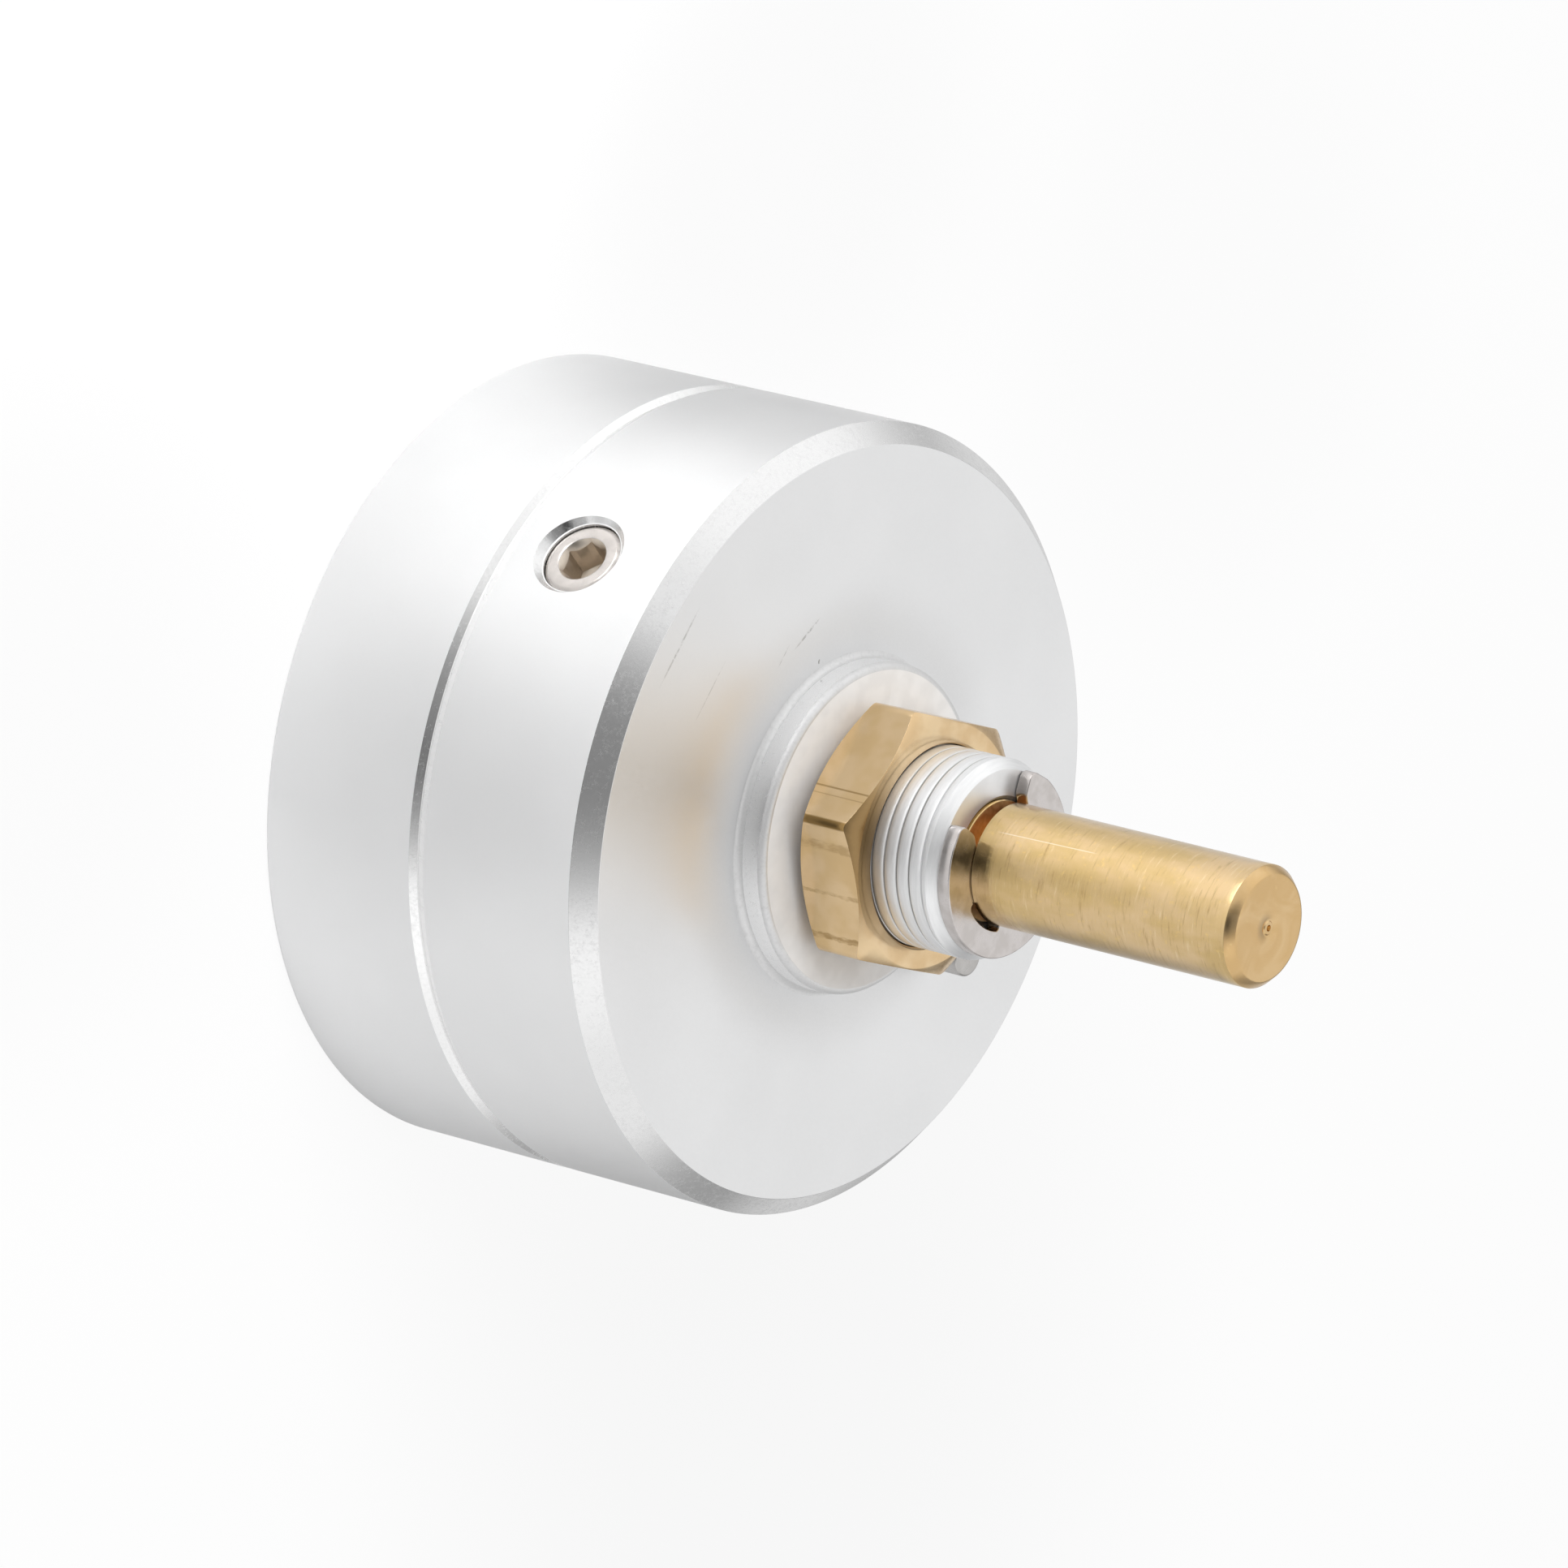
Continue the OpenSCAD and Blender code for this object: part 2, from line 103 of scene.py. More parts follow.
# What is fitted to it
SHAFT_R = shaft_high[0]
GROOVE_R = 2
FLAT_X = 2.2
CLIP_R = 4.65
CLIP_T = round(clip_high[2] - clip_low[2], 2)
CLIP_Z = (clip_low[2] + clip_high[2]) / 2
CLIP_TURN = -25
INNER_CLIP_TURN = 180
NUT_AF = 12.2
NUT_TURN = 30.5
SCREW_Z = (screws_low[2] + screws_high[2]) / 2
SCREW_R = (screws_high[2] - screws_low[2]) / 2
SCREW_END = screws_high[0]
SOCKET_AF = 2
SOCKET_MOUTH_R = 1.23
SOCKET_TURN = 43.5
PIN_X = (pin_low[0] + pin_high[0]) / 2
PIN_R = (pin_high[0] - pin_low[0]) / 2
PIN_SHANK_R = PIN_R - 0.2
OUTLET_R = 4

# Blind holes in the inner face of the front wall: x, y, radius, height of the bottom
POST_HEAD_R = 1.5
DECK_HEAD_R = 1.75
post_low, post_high = node_box("spring_posts")
deck_high = node_box("deck_screws")[1]
stop_low, stop_high = node_box("stop_pin")
POST_X = (post_low[0] + post_high[0]) / 2
POST_Y = post_high[1] - POST_HEAD_R
DECK_X = deck_high[0] - DECK_HEAD_R
DECK_Y = deck_high[1] - DECK_HEAD_R
STOP_Y = (stop_low[1] + stop_high[1]) / 2
SEATS = [
    (POST_X, POST_Y, 1, post_high[2]), (POST_X, -POST_Y, 1, post_high[2]),
    (-DECK_X, DECK_Y, 1, deck_high[2]), (DECK_X, -DECK_Y, 1, deck_high[2]),
    (0, STOP_Y, 0.75, stop_high[2]),
]


# ---------------------------------------------------------------- meshes

FILLET_STEPS = 4


def rounded(corners, closed=True):
    """The points of an outline whose corners are (x, y, fillet radius)."""
    points = []
    count = len(corners)
    for i, (x, y, fillet) in enumerate(corners):
        here = Vector((x, y))
        if fillet == 0 or (not closed and i in (0, count - 1)):
            points.append((x, y))
            continue
        back = (Vector(corners[i - 1][:2]) - here).normalized()
        ahead = (Vector(corners[(i + 1) % count][:2]) - here).normalized()
        half = back.angle(ahead) / 2
        centre = here + (back + ahead).normalized() * fillet / math.sin(half)
        first = here + back * fillet / math.tan(half) - centre
        last = here + ahead * fillet / math.tan(half) - centre
        start = math.atan2(first.y, first.x)
        sweep = math.remainder(math.atan2(last.y, last.x) - start, TURN)
        for k in range(FILLET_STEPS + 1):
            a = start + sweep * k / FILLET_STEPS
            points.append((centre.x + fillet * math.cos(a), centre.y + fillet * math.sin(a)))
    return points


def add_object(name, points, faces):
    """A new object from points in millimetres."""
    mesh = bpy.data.meshes.new(name)
    mesh.from_pydata([tuple(float(v) * MM for v in p) for p in points], [], faces)
    mesh.validate()
    obj = bpy.data.objects.new(name, mesh)
    bpy.context.scene.collection.objects.link(obj)
    return obj


def spread(count):
    """Evenly spaced angles round a full turn."""
    return np.arange(count) * TURN / count


def revolve(name, profile, angles):
    """A closed mesh of rings about Z. The profile's points are (r, z), each a number or a value per angle.
    A profile that starts on the axis is closed there at both ends; any other is a loop round a bore."""
    count = len(angles)
    solid = np.ndim(profile[0][0]) == 0 and profile[0][0] == 0
    rings = profile[1:-1] if solid else profile
    points = []
    for r, z in rings:
        x = r * np.cos(angles)
        y = r * np.sin(angles)
        points.extend(zip(x, y, np.broadcast_to(z, x.shape)))
    faces = []
    for i in range(len(rings) if not solid else len(rings) - 1):
        a, b = i * count, (i + 1) % len(rings) * count
        for k in range(count):
            n = (k + 1) % count
            faces.append((a + k, a + n, b + n, b + k))
    if solid:
        first, last = len(points), len(points) + 1
        points.append((0, 0, float(profile[0][1])))
        points.append((0, 0, float(profile[-1][1])))
        top = (len(rings) - 1) * count
        for k in range(count):
            n = (k + 1) % count
            faces.append((first, n, k))
            faces.append((last, top + k, top + n))
    return add_object(name, points, faces)


def face_outward(obj):
    """Turns a closed mesh right side out."""
    mesh = obj.data
    mesh.calc_loop_triangles()
    tri = np.array([t.vertices for t in mesh.loop_triangles])
    co = np.array([v.co for v in mesh.vertices], float)
    a, b, c = co[tri[:, 0]], co[tri[:, 1]], co[tri[:, 2]]
    if np.einsum("ij,ij->i", a, np.cross(b, c)).sum() < 0:
        mesh.flip_normals()
    return obj


def apply_modifiers(obj):
    graph = bpy.context.evaluated_depsgraph_get()
    mesh = bpy.data.meshes.new_from_object(obj.evaluated_get(graph))
    obj.modifiers.clear()
    obj.data = mesh
    return obj


def combine(obj, tool, operation):
    """Joins the tool to obj, cuts it away from obj, or keeps what they share; the tool is used up."""
    face_outward(obj)
    face_outward(tool)
    modifier = obj.modifiers.new("combine", "BOOLEAN")
    modifier.operation = operation
    modifier.solver = "EXACT"
    modifier.object = tool
    apply_modifiers(obj)
    bpy.data.objects.remove(tool)
    return obj


def weld(obj):
    """Joins points that the cuts left on top of each other, and splits the faces with many sides."""
    distance = 0.0008 * MM
    work = bmesh.new()
    work.from_mesh(obj.data)
    bmesh.ops.remove_doubles(work, verts=work.verts, dist=distance)
    bmesh.ops.dissolve_degenerate(work, edges=work.edges, dist=distance)
    many_sided = [face for face in work.faces if len(face.verts) > 4]
    bmesh.ops.triangulate(work, faces=many_sided, ngon_method="BEAUTY")
    work.to_mesh(obj.data)
    work.free()
    return obj


def bevel(obj, width, segments=2, angle=35):
    """Small round edges, so that the edges catch the light."""
    modifier = obj.modifiers.new("bevel", "BEVEL")
    modifier.width = width * MM
    modifier.segments = segments
    modifier.limit_method = "ANGLE"
    modifier.angle_limit = math.radians(angle)
    modifier.use_clamp_overlap = True
    return obj


def shade(obj):
    """Smooth faces, with sharp edges where two of them meet at more than an angle."""
    mesh = obj.data
    mesh.polygons.foreach_set("use_smooth", [True] * len(mesh.polygons))
    mesh.set_sharp_from_angle(angle=math.radians(32))
    modifier = obj.modifiers.new("weighted", "WEIGHTED_NORMAL")
    modifier.keep_sharp = True
    return apply_modifiers(obj)


def finish_piece(obj, body, nodes, slot, *materials, rule=None):
    """Shades a piece, gives it its materials and its body, and hides the CAD nodes that it stands for.
    The rule picks a face's material from its middle, in millimetres, and its normal."""
    shade(obj)
    obj.data.materials.clear()
    for material in materials:
        obj.data.materials.append(material)
    if rule:
        for face in obj.data.polygons:
            face.material_index = materials.index(rule(face.center / MM, face.normal))
    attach(obj, body)
    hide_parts(*nodes)


def toward(azimuth, elevation):
    """The direction at an azimuth from +X and an elevation, in degrees."""
    a, e = math.radians(azimuth), math.radians(elevation)
    return Vector((math.cos(a) * math.cos(e), math.sin(a) * math.cos(e), math.sin(e)))


# ---------------------------------------------------------------- materials

class Nodes:
    """A node tree, with short ways to add to it."""

    def __init__(self, tree):
        self.tree = tree

    def node(self, kind, **settings):
        made = self.tree.nodes.new(kind)
        for key, value in settings.items():
            setattr(made, key, value)
        return made

    def link(self, a, b):
        self.tree.links.new(a, b)

    def put(self, socket, value):
        """A socket's value, or a link to it."""
        if isinstance(value, bpy.types.NodeSocket):
            self.link(value, socket)
        else:
            socket.default_value = value

    def math(self, operation, *values, clamp=False):
        made = self.node("ShaderNodeMath", operation=operation, use_clamp=clamp)
        for socket, value in zip(made.inputs, values):
            self.put(socket, value)
        return made.outputs[0]

    def vector_math(self, operation, linked, other):
        """A sum on two vectors: one for MULTIPLY, a number for DISTANCE and DOT_PRODUCT."""
        made = self.node("ShaderNodeVectorMath", operation=operation)
        self.link(linked, made.inputs[0])
        made.inputs[1].default_value = other
        return made.outputs["Vector" if operation == "MULTIPLY" else "Value"]

    def ramp(self, value, low, high, to_low=0.0, to_high=1.0):
        """Maps low..high smoothly to to_low..to_high, and holds the ends."""
        made = self.node("ShaderNodeMapRange", interpolation_type="SMOOTHSTEP")
        self.put(made.inputs["Value"], value)
        made.inputs["From Min"].default_value = low
        made.inputs["From Max"].default_value = high
        made.inputs["To Min"].default_value = to_low
        made.inputs["To Max"].default_value = to_high
        return made.outputs["Result"]


class Shader(Nodes):
    """A material's nodes, with its coordinates in millimetres."""

    def __init__(self, name, colour, metallic, roughness):
        self.material = bpy.data.materials.new(name)
        self.material.use_nodes = True
        super().__init__(self.material.node_tree)
        self.surface = self.tree.nodes["Principled BSDF"]
        self.surface.inputs["Base Color"].default_value = (*colour, 1)
        self.surface.inputs["Metallic"].default_value = metallic
        self.surface.inputs["Roughness"].default_value = roughness
        coordinates = self.node("ShaderNodeTexCoord")
        scale = self.node("ShaderNodeVectorMath", operation="SCALE")
        self.link(coordinates.outputs["Object"], scale.inputs[0])
        scale.inputs["Scale"].default_value = 1 / MM
        self.place = scale.outputs[0]

    def split(self):
        """The coordinates x, y and z."""
        made = self.node("ShaderNodeSeparateXYZ")
        self.link(self.place, made.inputs[0])
        return made.outputs

    def radius(self):
        """The distance from the shaft's axis."""
        x, y, _ = self.split()
        return self.math("SQRT", self.math("MULTIPLY_ADD", x, x, self.math("MULTIPLY", y, y)))

    def reach(self, azimuth):
        """How far a point lies from the shaft's axis toward an azimuth."""
        out = toward(azimuth, 0)
        x, y, _ = self.split()
        return self.math("MULTIPLY_ADD", x, out.x, self.math("MULTIPLY", y, out.y))

    def stretched(self, x, y, z):
        """The coordinates, multiplied along each axis."""
        return self.vector_math("MULTIPLY", self.place, (x, y, z))

    def noise(self, scale, detail=2.0, place=None, roughness=0.5, distortion=0.0):
        """Noise whose scale is in features per millimetre."""
        made = self.node("ShaderNodeTexNoise")
        self.link(place or self.place, made.inputs["Vector"])
        made.inputs["Scale"].default_value = scale
        made.inputs["Detail"].default_value = detail
        made.inputs["Roughness"].default_value = roughness
        made.inputs["Distortion"].default_value = distortion
        return made.outputs["Fac"]

    def mix(self, factor, a, b):
        """Mixes two colours."""
        made = self.node("ShaderNodeMix", data_type="RGBA")
        self.put(made.inputs["Factor"], factor)
        for socket, value in ((made.inputs["A"], a), (made.inputs["B"], b)):
            self.put(socket, value if isinstance(value, bpy.types.NodeSocket) else (*value, 1))
        return made.outputs["Result"]

    def colour(self, value):
        self.link(value, self.surface.inputs["Base Color"])

    def roughness(self, value):
        self.link(value, self.surface.inputs["Roughness"])

    def bump(self, height, distance, strength, below=None):
        """A bump of that height in millimetres, on top of another one if it is given."""
        made = self.node("ShaderNodeBump")
        made.inputs["Distance"].default_value = distance * MM
        made.inputs["Strength"].default_value = strength
        self.link(height, made.inputs["Height"])
        if below is not None:
            self.link(below, made.inputs["Normal"])
        self.link(made.outputs["Normal"], self.surface.inputs["Normal"])
        return made.outputs["Normal"]

    def stroke(self, start, end, width):
        """1 along a thin soft stroke on the front face between two points (x, y), else 0."""
        x, y, _ = self.split()
        middle = ((start[0] + end[0]) / 2, (start[1] + end[1]) / 2)
        length = math.dist(start, end)
        along = ((end[0] - start[0]) / length, (end[1] - start[1]) / length)
        dx = self.math("SUBTRACT", x, middle[0])
        dy = self.math("SUBTRACT", y, middle[1])
        parts = []
        for (ax, ay), size in ((along, length / 2), ((-along[1], along[0]), width / 2)):
            t = self.math("ADD", self.math("MULTIPLY", dx, ax), self.math("MULTIPLY", dy, ay))
            parts.append(self.math("POWER", self.math("DIVIDE", self.math("ABSOLUTE", t), size), 2.0))
        return self.ramp(self.math("ADD", *parts), 1.0, 0.1)


# Handling marks on the front face: both ends (x, y), width and depth of tone
STROKES = [
    ((16.7, 4.75), (17.43, -0.12), 0.17, 0.45), ((13.19, 4.27), (13.79, 0.27), 0.09, 0.3),
    ((10.23, -1.62), (10.45, -3.08), 0.08, 0.45), ((9.94, -2.97), (9.57, -5.46), 0.17, 0.5),
    ((7.85, -3.78), (8.03, -4.02), 0.15, 1.0),
]


def satin_aluminium():
    """Bead-blasted and clear anodised: an even, soft silver, with a few handling marks on the front."""
    s = Shader("case_satin", (0.8, 0.8, 0.8), 1.0, 0.4)
    grain = s.noise(9, detail=3)
    broad = s.noise(0.12, detail=2)
    tone = s.mix(s.ramp(broad, 0.3, 0.7), (0.82, 0.822, 0.825), (0.85, 0.852, 0.855))
    front = s.ramp(s.split()[2], FACE_Z - 0.5, FACE_Z - 0.3)
    ragged = s.math("MULTIPLY", front, s.ramp(s.noise(3, detail=4, roughness=0.7), 0.35, 0.6))
    for start, end, width, depth in STROKES:
        mark = s.math("MULTIPLY", s.math("MULTIPLY", s.stroke(start, end, width), ragged), depth)
        tone = s.mix(mark, tone, (0.25, 0.24, 0.22))
    s.colour(tone)
    rubbed = s.math("MULTIPLY", s.ramp(s.radius(), 12.5, 9, 0, 0.24), front)
    s.roughness(s.math("ADD", s.ramp(grain, 0.3, 0.7, 0.36, 0.43), rubbed))
    s.bump(grain, 0.004, 0.5)
    return s.material


def seat_aluminium():
    """The seat that bears on the panel: a fine matt ring, milky where the panel has rubbed it."""
    s = Shader("case_seat", (0.92, 0.91, 0.9), 0.45, 0.72)
    grain = s.noise(9, detail=3)
    rubs = s.noise(0.8, detail=2)
    s.colour(s.mix(s.ramp(rubs, 0.35, 0.65), (0.9, 0.895, 0.89), (0.94, 0.935, 0.93)))
    s.roughness(s.ramp(rubs, 0.35, 0.65, 0.76, 0.68))
    s.bump(grain, 0.003, 0.3)
    return s.material


def cut_aluminium(name, tone, roughness):
    """Turned after blasting, then anodised: brighter and sharper, with fine tool lines and open grain."""
    s = Shader(name, (tone, tone, tone), 1.0, roughness)
    grain = s.noise(7, detail=4, roughness=0.65)
    pits = s.noise(2.6, detail=3, roughness=0.6)
    lines = s.noise(18, detail=2, place=s.stretched(0.05, 0.05, 1))
    rough = s.math("MULTIPLY", s.ramp(grain, 0.35, 0.65), s.ramp(pits, 0.4, 0.6, 0.3, 1))
    s.colour(s.mix(rough, (tone, tone, tone), (0.97 * tone, 0.97 * tone, 0.97 * tone)))
    s.roughness(s.math("MULTIPLY_ADD", rough, 0.16, roughness))
    s.bump(lines, 0.003, 0.4, below=s.bump(grain, 0.005, 0.35))
    return s.material


def thread_aluminium():
    """The anodised thread of the bush, with painted shade down in its grooves."""
    s = Shader("bush_thread", (0.8, 0.81, 0.815), 0.8, 0.36)
    grain = s.noise(10, detail=3)
    drag = s.noise(3, detail=3, place=s.stretched(0.25, 0.25, 3))
    tone = s.mix(s.ramp(drag, 0.3, 0.7), (0.81, 0.815, 0.82), (0.87, 0.875, 0.88))
    # Painted shade: darker toward the bottom of the grooves, except near the bush's end.
    deep = s.math("MULTIPLY", s.ramp(s.radius(), BUSH_R - 0.02, BUSH_R - 0.08, 0, 0.5),
                  s.ramp(s.split()[2], BUSH_END - 0.85, BUSH_END - 0.95))
    s.colour(s.mix(deep, tone, (0.3, 0.29, 0.27)))
    s.roughness(s.ramp(grain, 0.3, 0.7, 0.33, 0.39))
    s.bump(drag, 0.003, 0.2, below=s.bump(grain, 0.003, 0.12))
    return s.material


def shaft_brass():
    """Turned brass, handled and a little tarnished, with rings from the tool and a scratch along it,
    painted as a bright highlight line.
    """
    s = Shader("brass_turned", (0.72, 0.5, 0.2), 1.0, 0.28)
    rings = s.noise(6, detail=5, place=s.stretched(0.1, 0.1, 1), roughness=0.75)
    patches = s.noise(0.5, detail=3, place=s.stretched(1, 1, 0.5), roughness=0.55)
    spots = s.noise(3.2, detail=3, roughness=0.6)
    tone = s.mix(s.ramp(patches, 0.35, 0.65), (0.64, 0.45, 0.19), (0.74, 0.535, 0.29))
    tone = s.mix(s.ramp(spots, 0.58, 0.72, 0, 0.45), tone, (0.84, 0.6, 0.22))
    tone = s.mix(s.ramp(rings, 0.55, 0.69, 0, 0.6), tone, (0.42, 0.27, 0.1))
    tone = s.mix(s.ramp(rings, 0.43, 0.3, 0, 0.5), tone, (0.9, 0.75, 0.48))
    x, y, z = s.split()
    # A scratch along the shaft, painted in as a pale highlight line.
    lean = s.math("SUBTRACT", y, s.math("MULTIPLY_ADD", z, -0.02, 0.28))
    highlight_scratch = s.math("MULTIPLY", s.ramp(s.math("ABSOLUTE", lean), 0.04, 0.01), s.ramp(x, 2.5, 2.7))
    highlight_scratch = s.math("MULTIPLY", highlight_scratch, s.math("MULTIPLY", s.ramp(z, 9.2, 10), s.ramp(z, 15.4, 14.6)))
    s.colour(s.mix(s.math("MULTIPLY", highlight_scratch, 0.5), tone, (0.93, 0.86, 0.7)))
    s.roughness(s.ramp(spots, 0.3, 0.7, 0.15, 0.22))
    s.bump(rings, 0.009, 0.6, below=s.bump(spots, 0.004, 0.15))
    s.surface.inputs["Coat Weight"].default_value = 0.4
    s.surface.inputs["Coat Roughness"].default_value = 0.25
    return s.material


def groove_brass():
    """The clip's groove: as cut, dull and darker."""
    s = Shader("brass_groove", (0.8, 0.5, 0.24), 1.0, 0.5)
    lines = s.noise(4, detail=3)
    s.colour(s.mix(s.ramp(lines, 0.35, 0.65), (0.74, 0.45, 0.2), (0.84, 0.55, 0.27)))
    s.roughness(s.ramp(lines, 0.3, 0.7, 0.42, 0.58))
    s.bump(lines, 0.006, 0.4)
    return s.material


def shaft_end_brass():
    """The faced end of the shaft, softly clouded with tarnish."""
    s = Shader("brass_end", (0.72, 0.52, 0.26), 1.0, 0.24)
    clouds = s.noise(0.45, detail=2, roughness=0.5, distortion=1.2)
    fine = s.noise(4, detail=3)
    tone = s.mix(s.ramp(clouds, 0.35, 0.65), (0.64, 0.43, 0.2), (0.71, 0.5, 0.26))
    s.colour(s.mix(s.ramp(fine, 0.62, 0.76, 0, 0.25), tone, (0.8, 0.62, 0.3)))
    s.roughness(s.ramp(clouds, 0.3, 0.7, 0.2, 0.27))
    s.bump(fine, 0.004, 0.4)
    return s.material


# Azimuth toward which the nut's faces are darkened: painted shade.
NUT_PAINTED_SHADE_AZIMUTH = 38
# Marks along the nut, the first being a painted dark reflection on the corner at the nut's turn: the
# azimuth that they face, how far round from it they are, half width, depth of tone and raggedness
NUT_MARKS_AND_CORNER_REFLECTION = [
    (NUT_TURN, 0, 0.26, 0.95, 0), (NUT_TURN + 30, -2.25, 0.3, 0.4, 1),
    (NUT_TURN + 30, 0.3, 0.12, 0.5, 1), (NUT_TURN + 30, 2.65, 0.2, 0.7, 1),
    (NUT_TURN - 30, 1.55, 0.06, 0.7, 0), (NUT_TURN - 30, 1.98, 0.04, 0.4, 0),
]


def nut_brass():
    """Drawn hexagon bar: smooth flats, a few dark marks along it, and a painted dark reflection on one
    corner.
    """
    s = Shader("brass_drawn", (0.72, 0.52, 0.29), 1.0, 0.16)
    patches = s.noise(0.6, detail=2)
    smears = s.noise(3.4, detail=4, place=s.stretched(1, 1, 0.3), roughness=0.7)
    edges = s.noise(2.5, detail=3)
    tone = s.mix(s.ramp(patches, 0.35, 0.65), (0.68, 0.48, 0.25), (0.75, 0.55, 0.32))
    # The first entry darkens one corner as a painted dark reflection; the others are marks on the flats.
    for azimuth, round_from, half, depth, ragged in NUT_MARKS_AND_CORNER_REFLECTION:
        along = s.math("SUBTRACT", s.reach(azimuth + 90), round_from)
        along = s.math("ADD", along, s.math("MULTIPLY_ADD", edges, 0.3 * ragged, -0.15 * ragged))
        band = s.ramp(s.math("ABSOLUTE", along), half, half * 0.6)
        mark = s.math("MULTIPLY", s.math("MULTIPLY", band, depth), s.ramp(s.reach(azimuth), 5.8, 6.0))
        if ragged:
            mark = s.math("MULTIPLY", mark, s.ramp(smears, 0.36, 0.6, 0.2, 1))
        tone = s.mix(mark, tone, (0.31, 0.19, 0.065))
    s.colour(tone)
    s.roughness(s.ramp(smears, 0.4, 0.7, 0.14, 0.24))
    s.bump(smears, 0.003, 0.4)
    return s.material


def nut_face_brass():
    """The nut's turned faces and chamfers: smooth, with painted shade on one side."""
    s = Shader("brass_faced", (0.74, 0.55, 0.33), 1.0, 0.2)
    broad = s.noise(0.7, detail=2)
    fine = s.noise(6, detail=3)
    tone = s.mix(s.ramp(broad, 0.35, 0.65), (0.7, 0.5, 0.28), (0.78, 0.59, 0.36))
    # Painted shade: the faces darken toward one azimuth, standing in for the dark side of a turned face's
    # reflection.
    painted_shade_side = s.math("DIVIDE", s.reach(NUT_PAINTED_SHADE_AZIMUTH), s.radius())
    s.colour(s.mix(s.ramp(painted_shade_side, 0.6, 1, 0, 0.95), tone, (0.3, 0.19, 0.08)))
    s.roughness(s.ramp(fine, 0.3, 0.7, 0.17, 0.25))
    s.bump(fine, 0.003, 0.4)
    return s.material


def clip_steel():
    """Stamped spring steel, tumbled."""
    s = Shader("steel_stamped", (0.62, 0.59, 0.57), 1.0, 0.22)
    patches = s.noise(1.3, detail=3)
    shear = s.noise(6, detail=2, place=s.stretched(1, 1, 0.1))
    s.colour(s.mix(s.ramp(patches, 0.35, 0.65), (0.55, 0.515, 0.495), (0.64, 0.605, 0.59)))
    s.roughness(s.ramp(patches, 0.3, 0.7, 0.16, 0.28))
    s.bump(shear, 0.005, 0.5)
    return s.material


def ground_steel(name, colour, roughness=0.25):
    """Plain turned or ground steel, with faint rings."""
    s = Shader(name, colour, 1.0, roughness)
    rings = s.noise(8, detail=3, place=s.stretched(0.1, 0.1, 1))
    patches = s.noise(1.5, detail=3)
    dark = tuple(0.86 * c for c in colour)
    s.colour(s.mix(s.ramp(patches, 0.35, 0.65), dark, colour))
    s.roughness(s.ramp(patches, 0.3, 0.7, roughness * 0.8, roughness * 1.3))
    s.bump(rings, 0.004, 0.5)
    return s.material


def plain_metal(name, colour, roughness):
    """Plated or rolled strip."""
    s = Shader(name, colour, 1.0, roughness)
    spots = s.noise(4, detail=3)
    dark = tuple(0.8 * c for c in colour)
    s.colour(s.mix(s.ramp(spots, 0.35, 0.7), colour, dark))
    s.roughness(s.ramp(spots, 0.3, 0.7, roughness * 0.8, roughness * 1.3))
    s.bump(spots, 0.003, 0.4)
    return s.material


def moulded(name, colour):
    """Moulded plastic with a faint surface grain."""
    roughness = 0.45
    s = Shader(name, colour, 0.0, roughness)
    fine = s.noise(6, detail=3)
    broad = s.noise(0.4, detail=2)
    dark = tuple(0.88 * c for c in colour)
    s.colour(s.mix(s.ramp(broad, 0.3, 0.7), dark, colour))
    s.roughness(s.ramp(fine, 0.3, 0.7, roughness * 0.85, roughness * 1.2))
    s.bump(fine, 0.006, 0.4)
    return s.material


def rubber():
    """Black rubber with a fine matt skin and a little dust."""
    s = Shader("rubber_black", (0.02, 0.02, 0.021), 0.0, 0.6)
    fine = s.noise(12, detail=3)
    dust = s.noise(1.2, detail=4, roughness=0.65)
    s.colour(s.mix(s.ramp(dust, 0.5, 0.8, 0, 0.5), (0.016, 0.016, 0.017), (0.075, 0.073, 0.07)))
    s.roughness(s.ramp(fine, 0.3, 0.7, 0.5, 0.72))
    s.bump(fine, 0.01, 0.5)
    return s.material


def laminate():
    """Brown laminated paper board, its layers showing on the edges."""
    s = Shader("board_brown", (0.24, 0.12, 0.05), 0.0, 0.4)
    fibres = s.noise(2.5, detail=4, place=s.stretched(1, 0.25, 1))
    layers = s.noise(6, detail=1, place=s.stretched(0.05, 0.05, 1))
    tone = s.mix(s.ramp(fibres, 0.35, 0.65), (0.2, 0.1, 0.04), (0.3, 0.16, 0.07))
    s.colour(s.mix(s.ramp(layers, 0.5, 0.7, 0, 0.35), tone, (0.12, 0.06, 0.025)))
    s.roughness(s.ramp(fibres, 0.3, 0.7, 0.32, 0.5))
    s.bump(fibres, 0.008, 0.4)
    return s.material


# ---------------------------------------------------------------- the case

FINE = spread(288)
ROUND = spread(96)
THREAD = spread(120)


def along_x(obj, side):
    """Turns a piece made along Z to lie along X, outward on that side, at the set screws' height."""
    turn = Matrix.Rotation(math.pi / 2 * side, 4, "Y")
    obj.data.transform(Matrix.Translation((0, 0, SCREW_Z * MM)) @ turn)
    return obj


